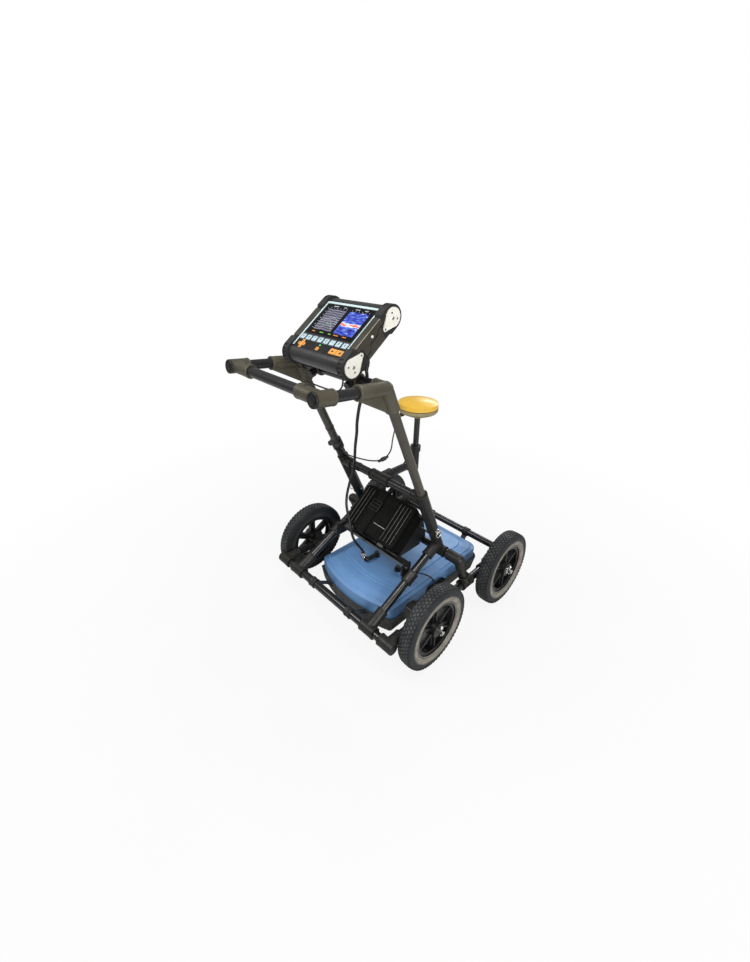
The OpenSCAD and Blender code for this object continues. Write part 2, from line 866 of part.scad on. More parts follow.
module key_well(x, y, w, h) {
  translate([x, y, -bezel_t - eps])
    linear_extrude(bezel_t + 2 * eps) square([w + 2 * slip, h + 2 * slip], center = true);
}

module console_bezel() {
  color([0.06, 0.06, 0.06]) at_console() difference() {
    translate([-console_w / 2, face_low, -bezel_t]) cube([console_w, face_h, bezel_t]);
    translate([-screen_w / 2, screen_mid - screen_h / 2, -bezel_t / 2]) cube([screen_w, screen_h, bezel_t]);
    for (i = [0 : 7]) key_well((i - 3.5) * softkey_pitch, softkey_up, softkey, softkey);
    for (x = function_x) key_well(x, lower_key_up, function_key[0], function_key[1]);
    key_well(0, lower_key_up - 4, power_side, power_side);
    for (a = [0, 90]) translate([arrow_x, lower_key_up, 0]) rotate(a) key_well(0, 0, arrow_span, arrow_w);
  }
}

module display_screen() {
  color([0.03, 0.03, 0.04]) at_console()
    translate([-screen_w / 2, screen_mid - screen_h / 2, -bezel_t / 2])
      cube([screen_w, screen_h, bezel_t / 2]);
}

// Press key: a foot in its well and a slightly smaller raised top
module press_key(x, y, w, h) {
  at_console() translate([x, y, -bezel_t + key_travel])
    linear_extrude(bezel_t - key_travel + key_rise) rounded_rect(w, h, 2);
}

module softkey_row(i) {
  color(pale_blue) press_key((i - 4.5) * softkey_pitch, softkey_up, softkey, softkey);
}

module arrow_pad() {
  color(orange) at_console() translate([arrow_x, lower_key_up, -bezel_t + key_travel])
    linear_extrude(bezel_t - key_travel + key_rise)
      for (a = [0, 90]) rotate(a) square([arrow_span, arrow_w], center = true);
}

module console_clamps() {
  color(fitting_grey) both_sides() difference() {
    union() {
      rod([cheek_x - clamp_w / 2, elbow[1], elbow[2]], right, clamp_w, fit_d);
      rod([cheek_x, elbow[1], elbow[2]], clamp_knob_dir, fit_d / 2 + clamp_stem, 16);
      side_plate(cheek_x, cheek_w) {
        translate([pivot[1], pivot[2]]) circle(15);
        translate([(pivot[1] + elbow[1]) / 2 - 15, elbow[2]]) square([30, pivot[2] - elbow[2]]);
      }
    }
    rod([cheek_x - clamp_w, elbow[1], elbow[2]], right, 2 * clamp_w, bore_d);
    rod([cheek_x - clamp_w, pivot[1], pivot[2]], right, 2 * clamp_w, pivot_d + 2 * seat);
  }
}

// Battery case, drawn with its back on Z = 0 and its lower end at Y = 0, then sloped

module at_case() {
  translate(case_low) rotate([case_tilt, 0, 0]) children();
}

module case_shell(h, grow = 0) {
  translate([0, case_l / 2, 0]) linear_extrude(h)
    rounded_rect(case_w + 2 * grow, case_l + 2 * grow, case_corner + grow);
}

module case_base() {
  color(rubber) at_case() difference() {
    union() {
      case_shell(base_h);
      translate([0, 0, base_h - 7]) case_shell(7, flange);
    }
    translate([0, 0, case_wall]) case_shell(base_h, -case_wall);
  }
}

module case_lid() {
  left = [for (i = [0 : 2]) rib_edge - case_w / 2 + i * rib_pitch];
  right_side = [for (i = [0 : 3]) case_w / 2 - rib_edge - i * rib_pitch];
  color([0.12, 0.12, 0.11]) at_case() translate([0, 0, base_h]) difference() {
    union() {
      case_shell(lid_h - rib_h);
      case_shell(7, flange);
      for (x = concat(left, right_side)) {
        translate([x - rib_w / 2, rib_end, 0]) cube([rib_w, case_l - 2 * rib_end, lid_h]);
      }
      translate([panel_x[0], panel_low, 0])
        cube([panel_x[1] - panel_x[0], case_l - panel_low - rib_end, lid_h - 1]);
    }
    translate([0, 0, -case_wall - rib_h]) case_shell(lid_h - case_wall, -case_wall);
  }
}

module case_latches() {
  low = [-latch_w / 2, -flange - latch_t, base_h - latch_drop];
  color(black) at_case() for (x = latch_x) translate(low + x * right) {
    cube([latch_w, latch_t, latch_w]);
    translate([0, 0, latch_w - latch_hook + 1]) cube([latch_w, flange + latch_t - slip, latch_hook]);
  }
}

module battery_block() {
  color([0.2, 0.2, 0.22]) at_case()
    translate([-battery[0] / 2, case_l / 2 - battery[1] / 2, case_wall]) cube(battery);
}

// Webbing from the cradle's lip over the lid, round the upper end and back under the plate
module case_strap() {
  low = -flange - slip;
  high = case_l + flange + slip;
  deep = -plate_gauge - slip;
  out = case_h + slip;
  color([0.05, 0.05, 0.05]) at_case() side_plate(strap_x, strap_w) difference() {
    translate([low - strap_t, deep - strap_t]) square([high - low + 2 * strap_t, out - deep + 2 * strap_t]);
    translate([low, deep]) square([high - low, out - deep]);
    translate([low - 2 * strap_t, deep - 2 * strap_t]) square([case_l - strap_tail, 8 - deep]);
  }
}

// Sloped plate with a lip, its gussets on the shelf and the cross tube, and the collars that carry the shelf
module case_cradle() {
  lip = 30;
  reach = case_l - 4;
  low = case_point(-plate_gauge, -plate_gauge);
  high = case_point(reach - plate_gauge, -plate_gauge);
  tube_top = foot_z + tube_d / 2 + slip;
  wide = 2 * gusset_x + gusset_t;
  collar = rear_joint + (shelf_y - 8 - rear_y) / rail_dir[1] * rail_dir;
  color(black) {
    at_case() translate([-wide / 2, -plate_gauge, 0]) {
      translate([0, 0, -plate_gauge]) cube([wide, reach, plate_gauge]);
      cube([wide, plate_gauge, lip]);
    }
    both_sides() difference() {
      side_plate(gusset_x, gusset_t) polygon([
        low, [low[0] + 2, shelf_z], [foot_y - fit_d / 2 - 4, shelf_z], [foot_y - fit_d / 2 - 4, tube_top],
        [foot_y + 7, tube_top], high
      ]);
      rod(rest_rod - leg_x * right, right, 2 * leg_x, rest_rod_d + 2 * seat);
    }
    both_sides() difference() {
      union() {
        rod(collar - 22 * rail_dir, rail_dir, 44, fit_d);
        translate([ear_x - ear_t / 2, shelf_y - 26, collar[2]]) cube([ear_t, 46, shelf_z - collar[2] + 10]);
      }
      rod(collar - 24 * rail_dir, rail_dir, 48, bore_d);
    }
  }
}

// Antenna

// Plan of the housing grown by g: straight sides, rounded front and a bulged rear edge
module antenna_plan(g) {
  l = antenna_l;
  corner = 40;
  intersection() {
    translate([-antenna_w / 2 - g, antenna_rear - g]) square([antenna_w + 2 * g, l + 2 * g]);
    translate([0, antenna_rear + rear_r]) circle(rear_r + g, $fn = 180);
    translate([0, antenna_rear + l / 2]) rounded_rect(antenna_w + 2 * g, l + 2 * g, corner);
  }
}

module slab(z, g, t = 0.5) {
  translate([0, 0, z]) linear_extrude(t) antenna_plan(g);
}

// Housing shell: upright skirt under a crowned deck, with a ridge across the rear and hand holds in the sides
module antenna_form(g) {
  hull() {
    slab(skirt_low, -2 - g);
    slab(skirt_top - g, -g);
  }
  hull() {
    slab(skirt_top - g, -g);
    slab(antenna_top - 6 - g, -crown_inset - g);
  }
}

module hand_hold(g) {
  side_plate(antenna_w / 2, 2 * (22 + g)) polygon([
    [hold_y[0] - 24 - g, skirt_low - 20], [hold_y[0] - g, hold_top + g],
    [hold_y[1] - 90 + g, hold_top + g], [hold_y[1] + g, skirt_low - 20]
  ]);
}

module antenna_cover() {
  color(antenna_blue) difference() {
    union() {
      antenna_form(0);
      translate([0, 0, skirt_top - eps]) linear_extrude(ledge_h + eps) antenna_plan(-ledge_in);
      for (i = [0, 1]) {
        translate([0, 0, skirt_top]) linear_extrude(antenna_top - skirt_top - i * ridge_step) intersection() {
          antenna_plan(-crown_inset - ridge_step);
          translate([0, ridge_y - i * ridge_tread]) antenna_plan(0);
        }
      }
    }
    difference() {
      translate([0, 0, -eps]) antenna_form(antenna_wall);
      both_sides() hand_hold(antenna_wall);
    }
    both_sides() hand_hold(0);
  }
}

module antenna_skid() {
  color([0.13, 0.13, 0.12]) difference() {
    union() {
      hull() {
        slab(skid_clear, -skid_tuck);
        slab(skirt_low - 44, -2);
      }
      hull() {
        slab(skirt_low - 44, -2);
        slab(skid_rim - 0.5, skid_flare);
      }
    }
    translate([0, 0, skid_clear + 8]) linear_extrude(skid_rim) antenna_plan(-skid_tuck - antenna_wall);
    translate([0, 0, skirt_low]) linear_extrude(skid_rim) antenna_plan(seat);
  }
}

// Bright angled coupling of the data cable, its dark plug, and the two glands where leads enter the housing
module antenna_plugs() {
  bend = [plug_x, plug_y, antenna_top + nut_d / 2 + slip];
  corner = [gland_x[0], bend[1], bend[2]];
  color([0.12, 0.12, 0.12]) {
    translate(corner) sphere(d = plug_d);
    rod(corner, ahead, gland_y - plug_y, plug_d - 2);
    rod([gland_x[1], gland_y, antenna_top + 14.5], right, gland_reach, 12);
    for (x = gland_x) {
      rod([x, gland_y, antenna_top], up, 10, 26);
      translate([x, gland_y, antenna_top + 10 - eps]) cylinder(d1 = 20, d2 = 16, h = 12);
    }
  }
  color(steel) {
    translate(bend) sphere(d = plug_d - 1);
    rod(bend, up, plug_rise, plug_d - 4);
    rod(bend + 9 * up, up, 9, nut_d);
    rod(bend, right, corner[0] - bend[0], plug_d - 4);
    rod(bend + 9 * right, right, 8, nut_d);
  }
}

// Webbing loop round a cross tube, with a tail to a hook over the skid's rim
module hanger(y, face) {
  away = face > y ? 1 : -1;
  rim = face - away * (skid_flare + slip);
  rest = skid_rim + slip;
  outer = rim - away * hook_t;
  tail = [0, outer + away * hook_t / 2 - y, rest + hook_t / 2 - axle_z];
  difference() {
    union() {
      rod([hanger_x - hanger_w / 2, y, axle_z], right, hanger_w, tube_d + 2 * hanger_t);
      translate([hanger_x, y, axle_z]) rotate([atan2(tail[2], tail[1]), 0, 0])
        translate([1.5 - hanger_w / 2, 0, -1.5]) cube([hanger_w - 3, norm(tail), 3]);
      translate([hanger_x - hanger_w / 2, min(rim, outer), rest - hook_drop])
        cube([hanger_w, hook_t, hook_drop + hook_t]);
      translate([hanger_x - hanger_w / 2, min(outer, face - away), rest])
        cube([hanger_w, abs(face - away - outer), hook_t]);
    }
    rod([hanger_x - hanger_w, y, axle_z], right, 2 * hanger_w, bore_d);
  }
}

module hanger_straps() {
  rear_face = antenna_rear + rear_r - sqrt(rear_r * rear_r - pow(hanger_x - hanger_w / 2, 2)) - slip;
  color(rubber) both_sides() {
    hanger(rear_y, rear_face);
    hanger(front_y, antenna_rear + antenna_l + slip);
  }
}

// Cables. Each route is a hand-chosen list of points

function from_top(points) = [for (p = points) top_at + p];

data_route = concat(
  from_top([[102, 20.5, 31.5], [105, 21.5, 0.5], [98, 21.5, -34.5], [76, 21.5, -80]]),
  [
    [42, -196, 834], [18, -176, 782], [-20, -148, 712], [-58, -116, 646], [-96, -84, 598], [-118, -68, 556],
    [-126, -74, 522], [-128, -84, 486], [-126, -95, 452], [-119, -104, 422], [-107, -110, 397],
    [-94, -114.5, 377], [-82, -118, 355], [-74, -119.5, 330], [-68, -118, 306], [-64, -112, 284],
    [-61, -101, 262], [-59, -87, 240], [-58.2, -76, 222], [plug_x, plug_y, 207.2]
  ]
);
gps_route = concat(
  [
    [-66.3, 130.7, 741.2], [-75, 125, 718], [-69, 101, 694], [-38, 56, 672], [-2, 8, 652], [2, -34, 634],
    [-30, -62, 625], [-100, -76, 618], [-150, -78, 616], [-176, -82, 634], [-182, -102, 690],
    [-182, -147, 790]
  ],
  from_top([
    [-181.5, 47, -104.5], [-172, 16, -68], [-145, -4, -58], [-60, -12, -55], [10, -15.5, -50],
    [40, -19.5, -32], [50, -21.5, -8], [53, -21.5, 17.5]
  ])
);
odometer_route = concat(
  [[98.5, -16, 188.5], [114, -12, 190], [150, 14, 187]],
  [for (p = [[-10, 44, 177], [8, 60, 152], [22, 44, 134], [42, -8, 134]]) p + [antenna_w / 2, 0, 0]],
  [[odo_x + 19, -52, 148], [odo_x + odo_w / 2, -74.5, 152.5]]
);

module cables() {
  color(rubber) {
    cord(smooth(data_route, 4), 10);
    cord(smooth(gps_route, 4), 5);
    cord(smooth(odometer_route, 4), 5);
  }
}

cross_tubes();
rails();
corner_elbows();
rear_tees();
leg_feet();
side_posts();
rail_tees();
axles();
hanger_straps();
leg_sleeves();
leg_tubes();
handle_elbows();
handle_tees();
handle_tubes();
gps_arm();
caps_and_knobs();
steel_fittings();
odometer_housing();
console_clamps();
case_cradle();
case_base();
case_lid();
case_latches();
case_strap();
battery_block();
cables();
antenna_cover();
antenna_skid();
antenna_plugs();
at_wheel(-1, rear_axle_y) tyre();  // rear_left_tyre
at_wheel(1, rear_axle_y) tyre();  // rear_right_tyre
at_wheel(-1, front_axle_y) tyre();  // front_left_tyre
at_wheel(1, front_axle_y) tyre();  // front_right_tyre
at_wheel(-1, rear_axle_y) rim();  // rear_left_rim
at_wheel(1, rear_axle_y) rim();  // rear_right_rim
at_wheel(-1, front_axle_y) rim();  // front_left_rim
at_wheel(1, front_axle_y) rim();  // front_right_rim
odometer_axle();
gps_mast();
gps_base();
gps_dome();
lock_pin(-1);  // left_lock_pin
lock_pin(1);  // right_lock_pin
console_body();
console_end_caps();
console_side_plates();
console_bezel();
display_screen();
for (i = [1 : 8]) softkey_row(i);
arrow_pad();
color(orange) press_key(0, lower_key_up - 4, power_side, power_side);  // power_key
union() {  // left_function_key
  color(orange) press_key(function_x[0], lower_key_up, function_key[0], function_key[1]);
}
union() {  // right_function_key
  color(orange) press_key(function_x[1], lower_key_up, function_key[0], function_key[1]);
}
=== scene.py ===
"""Looks of a four-wheeled ground penetrating radar cart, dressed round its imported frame."""

import json
import logging
import math
from dataclasses import dataclass, field
from enum import Enum
from typing import Iterable, Sequence

import bmesh
import bpy
from mathutils import Matrix, Vector

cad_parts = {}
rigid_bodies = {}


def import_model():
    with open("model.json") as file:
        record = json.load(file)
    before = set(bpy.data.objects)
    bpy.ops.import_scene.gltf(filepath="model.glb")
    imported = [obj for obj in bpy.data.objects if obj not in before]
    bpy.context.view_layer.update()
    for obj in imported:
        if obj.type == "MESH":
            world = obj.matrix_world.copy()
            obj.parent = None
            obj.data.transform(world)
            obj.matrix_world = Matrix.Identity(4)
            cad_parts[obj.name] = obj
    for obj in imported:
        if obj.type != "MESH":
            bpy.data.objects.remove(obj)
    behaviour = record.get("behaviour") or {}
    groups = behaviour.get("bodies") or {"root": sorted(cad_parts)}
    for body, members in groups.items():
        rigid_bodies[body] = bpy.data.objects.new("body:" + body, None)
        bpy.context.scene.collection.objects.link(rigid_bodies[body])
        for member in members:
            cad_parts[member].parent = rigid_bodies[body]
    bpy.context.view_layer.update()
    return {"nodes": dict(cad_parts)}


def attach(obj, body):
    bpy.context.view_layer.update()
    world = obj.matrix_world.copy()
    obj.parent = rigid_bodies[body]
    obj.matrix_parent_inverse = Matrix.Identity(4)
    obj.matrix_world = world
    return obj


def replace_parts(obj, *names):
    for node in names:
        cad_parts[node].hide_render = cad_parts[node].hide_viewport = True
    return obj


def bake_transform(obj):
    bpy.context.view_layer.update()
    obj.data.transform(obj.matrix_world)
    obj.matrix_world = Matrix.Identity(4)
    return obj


for leftover in list(bpy.data.objects):
    bpy.data.objects.remove(leftover)
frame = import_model()

LOG = logging.getLogger("radar_cart")
MM = 0.001
RIGHT = Vector((1, 0, 0))
AHEAD = Vector((0, 1, 0))
UP = Vector((0, 0, 1))
BOTH = (1, -1)
NOISE_SPAN = (0.3, 0.7)
Rgb = tuple[float, float, float]
Point = tuple[float, float, float]
Flat = tuple[float, float]
MeshWork = bmesh.types.BMesh
Piece = bpy.types.Object
Socket = bpy.types.NodeSocket


class NodeKit:
    """Adds and joins the nodes of one material."""

    def __init__(self, name: str) -> None:
        """Starts an empty material.

        Args:
            name: name of the material.
        """
        self.material = bpy.data.materials.new(name)
        self.material.use_nodes = True
        self.tree = self.material.node_tree
        self.shader = self.tree.nodes["Principled BSDF"]
        self.coords = self.add("ShaderNodeTexCoord")

    def add(self, kind: str, feeds: dict | None = None, **settings: object) -> bpy.types.Node:
        """Adds a node.

        Args:
            kind: Blender's name of the node type.
            feeds: values or sockets for the node's inputs, by name or number.
            settings: properties of the node.

        Returns:
            The new node.
        """
        node = self.tree.nodes.new(kind)
        for key, value in settings.items():
            setattr(node, key, value)
        for socket, value in (feeds or {}).items():
            self.feed(node, socket, value)
        return node

    def feed(self, node: bpy.types.Node, socket: str | int, value: object) -> None:
        """Sets an input, or joins a socket to it.

        Args:
            node: node whose input is set.
            socket: name or number of the input.
            value: plain value or output socket.
        """
        target = node.inputs[socket]
        if isinstance(value, Socket):
            self.tree.links.new(value, target)
        else:
            target.default_value = value

    def noise(self, scale: float, detail: float = 3.0, place: object = None) -> Socket:
        """Noise value.

        Args:
            scale: waves for each metre.
            detail: octaves.
            place: coordinate socket, the object's own if left out.

        Returns:
            The value socket.
        """
        place = place or self.coords.outputs["Object"]
        node = self.add("ShaderNodeTexNoise", {"Vector": place, "Scale": scale, "Detail": detail})
        return node.outputs["Fac"]

    def calc(self, kind: str, first: object, second: object) -> Socket:
        """Joins two values by one arithmetic step.

        Args:
            kind: name of the operation.
            first: first value or socket.
            second: second value or socket.

        Returns:
            The result socket.
        """
        return self.add("ShaderNodeMath", {0: first, 1: second}, operation=kind).outputs[0]

    def remap(self, value: Socket, span: Flat, onto: Flat) -> Socket:
        """Maps a value from one range onto another and clamps it.

        Args:
            value: socket to map.
            span: range that comes in.
            onto: range that goes out.

        Returns:
            The mapped socket.
        """
        feeds = {"Value": value, 1: span[0], 2: span[1], 3: onto[0], 4: onto[1]}
        return self.add("ShaderNodeMapRange", feeds).outputs[0]

    def ramp(self, value: Socket, stops: Sequence[tuple[float, Rgb]]) -> Socket:
        """Colours a value.

        Args:
            value: socket from 0 to 1.
            stops: place and colour of each stop.

        Returns:
            The colour socket.
        """
        node = self.add("ShaderNodeValToRGB", {"Fac": value})
        bar = node.color_ramp.elements
        while len(bar) < len(stops):
            bar.new(0.5)
        for element, (place, colour) in zip(bar, stops):
            element.position = place
            element.color = (*colour, 1.0)
        return node.outputs["Color"]

    def blend(self, share: Socket, first: object, second: object) -> Socket:
        """Mixes two colours.

        Args:
            share: socket that says how much of the second shows.
            first: colour or socket.
            second: colour or socket.

        Returns:
            The mixed colour socket.
        """
        node = self.add("ShaderNodeMix", {"Factor": share}, data_type="RGBA")
        for number, value in ((6, first), (7, second)):
            self.feed(node, number, (*value, 1.0) if isinstance(value, tuple) else value)
        return node.outputs[2]

    def relief(self, height: Socket, depth: float) -> None:
        """Bumps the surface.

        Args:
            height: socket of the surface's height.
            depth: depth of the relief in metres.
        """
        bump = self.add("ShaderNodeBump", {"Height": height, "Distance": depth, "Strength": 1.0})
        self.tree.links.new(bump.outputs["Normal"], self.shader.inputs["Normal"])


class Pattern(Enum):
    """Kinds of fine relief that a finish carries."""

    GRAIN = "moulded grain"
    BRUSHED = "brushed lines"
    WOVEN = "woven yarns"
    PEBBLED = "pebbled skin"


@dataclass(frozen=True)
class Finish:
    """A surface with a wandering colour, gloss and fine relief."""

    name: str
    slot: str
    colour: Rgb
    roughness: float
    metallic: float = 0.0
    coat: float = 0.0
    coat_roughness: float = 0.12
    sheen: float = 0.0
    specular: float = 0.5
    pattern: Pattern = Pattern.GRAIN
    pitch: float = 700.0
    depth: float = 0.00006
    mottle: float = 0.16
    wander: float = 0.22
    patches: float = 16.0
    dust_and_top_light: float = 0.0
    dust_and_top_light_colour: Rgb = (0.42, 0.38, 0.3)
    glow: float = 0.0

    def material(self) -> bpy.types.Material:
        """Returns the finish's material, made at its first use."""
        return bpy.data.materials.get(self.name) or self.mix()

    def mix(self) -> bpy.types.Material:
        """Builds the node tree.

        Returns:
            The new material.
        """
        kit = NodeKit(self.name)
        shader = kit.shader.inputs
        shader["Metallic"].default_value = self.metallic
        shader["Coat Weight"].default_value = self.coat
        shader["Coat Roughness"].default_value = self.coat_roughness
        shader["Sheen Weight"].default_value = self.sheen
        shader["Specular IOR Level"].default_value = self.specular
        colour = self.paint(kit)
        kit.feed(kit.shader, "Base Color", colour)
        if self.glow:
            kit.feed(kit.shader, "Emission Color", colour)
            shader["Emission Strength"].default_value = self.glow
        gloss = kit.noise(self.patches * 3.1, 5.0)
        spread = self.wander * self.roughness
        kit.feed(
            kit.shader,
            "Roughness",
            kit.remap(gloss, NOISE_SPAN, (self.roughness - spread, self.roughness + spread)),
        )
        kit.relief(self.height(kit), self.depth)
        return kit.material

    def paint(self, kit: NodeKit) -> Socket:
        """Colours the surface with soft patches and a tint on what faces up: dust, and on the blue cover also
        a painted highlight.

        Args:
            kit: the material's nodes.

        Returns:
            The colour socket.
        """
        dark = tuple(c * (1 - self.mottle) for c in self.colour)
        pale = tuple(min(1.0, c * (1 + self.mottle)) for c in self.colour)
        colour = kit.ramp(kit.noise(self.patches, 6.0), list(zip(NOISE_SPAN, (dark, pale))))
        if not self.dust_and_top_light:
            return colour
        facing = kit.add("ShaderNodeSeparateXYZ", {0: kit.coords.outputs["Normal"]}).outputs[2]
        upward_share = kit.remap(facing, (0.2, 1.0), (0.0, self.dust_and_top_light))
        cloud = kit.remap(kit.noise(self.patches * 5, 7.0), (0.38, 0.66), (0.0, 1.0))
        return kit.blend(kit.calc("MULTIPLY", upward_share, cloud), colour, self.dust_and_top_light_colour)

    def height(self, kit: NodeKit) -> Socket:
        """Gives the fine relief of the finish's pattern.

        Args:
            kit: the material's nodes.

        Returns:
            The height socket.
        """
        place = kit.coords.outputs["Object"]
        if self.pattern is Pattern.BRUSHED:
            stretch = kit.add("ShaderNodeMapping", {"Vector": place, "Scale": (0.06, 1.0, 1.0)})
            return kit.noise(self.pitch, 4.0, stretch.outputs[0])
        if self.pattern is Pattern.PEBBLED:
            cells = kit.add("ShaderNodeTexVoronoi", {"Vector": place, "Scale": self.pitch})
            return cells.outputs["Distance"]
        if self.pattern is Pattern.WOVEN:
            return self.weave(kit)
        return kit.noise(self.pitch, 2.0)

    def weave(self, kit: NodeKit) -> Socket:
        """Crosses two sets of yarns in the strap's own plane.

        Args:
            kit: the material's nodes.

        Returns:
            The height socket.
        """
        sets = []
        for axis in ("X", "Y"):
            place = kit.coords.outputs["UV"]
            feeds = {"Vector": place, "Scale": self.pitch, "Distortion": 0.4}
            waves = kit.add("ShaderNodeTexWave", feeds, bands_direction=axis)
            sets.append(waves.outputs["Fac"])
        return kit.calc("MULTIPLY", *sets)


@dataclass(frozen=True)
class TyreFinish(Finish):
    """Tyre rubber with a dusty ring on its sidewalls and paler block tops, partly scuffed rubber and partly
    painted highlight.
    """

    axle: Point = (0.0, 0.0, 0.0)
    outward: int = 1
    ring: Flat = (0.1055, 0.123)
    crown: Flat = (0.1504, 0.1514)
    crown_colour: Rgb = (0.3, 0.31, 0.31)
    crown_scuff_and_highlight: Flat = (0.03, 0.2)
    pale_rubber: Rgb = (0.02, 0.022, 0.024)
    inner_share: float = 0.12

    def paint(self, kit: NodeKit) -> Socket:
        """Colours the rubber by its distance from the axle.

        Args:
            kit: the material's nodes.

        Returns:
            The colour socket.
        """
        centred = kit.add(
            "ShaderNodeVectorMath",
            {0: kit.coords.outputs["Object"], 1: tuple(MM * c for c in self.axle)},
            operation="SUBTRACT",
        )
        turned = kit.add(
            "ShaderNodeVectorMath", {0: centred.outputs[0], 1: (0.0, 1.0, 1.0)}, operation="MULTIPLY"
        )
        radius = kit.add("ShaderNodeVectorMath", {0: turned.outputs[0]}, operation="LENGTH").outputs["Value"]
        low, high = self.ring
        inside = kit.remap(radius, (low - 0.002, low + 0.001), (0.0, 1.0))
        outside = kit.remap(radius, (high - 0.003, high + 0.004), (1.0, 0.0))
        cloud = kit.remap(kit.noise(38.0, 7.0), (0.3, 0.62), (0.55, 1.0))
        across = kit.add("ShaderNodeSeparateXYZ", {0: centred.outputs[0]}).outputs[0]
        outward = kit.calc("MULTIPLY", across, float(self.outward))
        outer = kit.remap(outward, (0.0, 0.01), (self.inner_share, 1.0))
        ring = kit.calc("MULTIPLY", kit.calc("MULTIPLY", inside, outside), kit.calc("MULTIPLY", cloud, outer))
        # Block tops on the crown turn blue-grey: partly scuffed rubber, partly a painted highlight on the
        # tops.
        crown = kit.remap(radius, self.crown, (0.0, 1.0))
        scuffs = kit.remap(kit.noise(30.0, 6.0), NOISE_SPAN, self.crown_scuff_and_highlight)
        tread_scuff_and_highlight = kit.calc("MULTIPLY", crown, scuffs)
        base = kit.ramp(kit.noise(self.patches, 5.0), list(zip(NOISE_SPAN, (self.colour, self.pale_rubber))))
        crown_tinted = kit.blend(tread_scuff_and_highlight, base, self.crown_colour)
        return kit.blend(kit.calc("MULTIPLY", ring, self.dust_and_top_light), crown_tinted, self.dust_and_top_light_colour)


@dataclass(frozen=True)
class ScanFinish(Finish):
    """Grey depth scan with a few buried echoes, drawn in the panel's UV."""

    echoes: tuple[Flat, ...] = ((0.34, 0.46), (0.62, 0.36), (0.8, 0.62))
    layers: float = 62.0
    ripple: float = 95.0
    spread: float = 0.11

    def paint(self, kit: NodeKit) -> Socket:
        """Draws layered ground and hyperbolic echoes.

        Args:
            kit: the material's nodes.

        Returns:
            The colour socket.
        """
        place = kit.coords.outputs["UV"]
        split = kit.add("ShaderNodeSeparateXYZ", {0: place})
        across = split.outputs[0]
        depth = kit.calc("SUBTRACT", 1.0, split.outputs[1])
        wander = kit.calc("MULTIPLY", kit.noise(3.0, 6.0, place), 1.6)
        phase = kit.calc("ADD", kit.calc("MULTIPLY", depth, self.layers), kit.calc("MULTIPLY", wander, 6.0))
        total = kit.calc("MULTIPLY", kit.calc("SINE", phase, 0.0), 0.3)
        for left, top in self.echoes:
            off = kit.calc("MULTIPLY", kit.calc("SUBTRACT", across, left), 1.3)
            arc = kit.calc("SQRT", kit.calc("ADD", kit.calc("MULTIPLY", off, off), top * top), 0.0)
            gap = kit.calc("SUBTRACT", depth, arc)
            fade = kit.remap(kit.calc("ABSOLUTE", gap, 0.0), (0.0, self.spread), (1.0, 0.0))
            waves = kit.calc("COSINE", kit.calc("MULTIPLY", gap, self.ripple), 0.0)
            ring = kit.calc("MULTIPLY", waves, fade)
            total = kit.calc("ADD", total, kit.calc("MULTIPLY", ring, 0.8))
        speck = kit.calc("MULTIPLY", kit.calc("SUBTRACT", kit.noise(46.0, 3.0, place), 0.5), 0.9)
        level = kit.remap(kit.calc("ADD", total, speck), (-1.0, 1.0), (0.0, 1.0))
        stops = [(0.1, (0.004, 0.004, 0.008)), (0.5, (0.07, 0.068, 0.1)), (0.92, (0.42, 0.42, 0.5))]
        return kit.ramp(level, stops)


@dataclass(frozen=True)
class MapFinish(Finish):
    """Coloured depth slice: blue ground with one strong warm layer."""

    layer: float = 0.44

    def paint(self, kit: NodeKit) -> Socket:
        """Colours stretched noise and lifts it along one layer.

        Args:
            kit: the material's nodes.

        Returns:
            The colour socket.
        """
        place = kit.coords.outputs["UV"]
        stretch = kit.add("ShaderNodeMapping", {"Vector": place, "Scale": (2.2, 9.0, 1.0)})
        ground = kit.noise(1.6, 7.0, stretch.outputs[0])
        height = kit.add("ShaderNodeSeparateXYZ", {0: place}).outputs[1]
        slope = kit.calc("MULTIPLY", kit.calc("SUBTRACT", kit.noise(2.4, 3.0, place), 0.5), 0.22)
        gap = kit.calc("SUBTRACT", kit.calc("ADD", height, slope), self.layer)
        band = kit.remap(kit.calc("ABSOLUTE", gap, 0.0), (0.02, 0.12), (0.46, 0.0))
        level = kit.calc("ADD", kit.remap(ground, NOISE_SPAN, (0.0, 0.6)), band)
        stops = [
            (0.04, (0.012, 0.01, 0.09)),
            (0.26, (0.03, 0.04, 0.32)),
            (0.48, (0.09, 0.17, 0.5)),
            (0.62, (0.6, 0.68, 0.78)),
            (0.72, (0.75, 0.22, 0.14)),
            (0.9, (0.5, 0.03, 0.03)),
        ]
        return kit.ramp(level, stops)


@dataclass(frozen=True)
class ShelfFinish(Finish):
    """Zinc that is bright at the hubs and painted darker on the shelf between the rails, as painted shade."""

    shaded_colour: Rgb = (0.2, 0.21, 0.19)
    reach: Flat = (0.23, 0.25)

    def paint(self, kit: NodeKit) -> Socket:
        """Darkens the zinc near the middle of the cart: painted shade.

        Args:
            kit: the material's nodes.

        Returns:
            The colour socket.
        """
        across = kit.add("ShaderNodeSeparateXYZ", {0: kit.coords.outputs["Object"]}).outputs[0]
        outer = kit.remap(kit.calc("ABSOLUTE", across, 0.0), self.reach, (0.0, 1.0))
        stain = kit.remap(kit.noise(self.patches, 6.0), NOISE_SPAN, (0.0, 0.12))
        # Painted shade: the zinc between the rails takes the darker colour.
        return kit.blend(kit.calc("MAXIMUM", outer, stain), self.shaded_colour, self.colour)


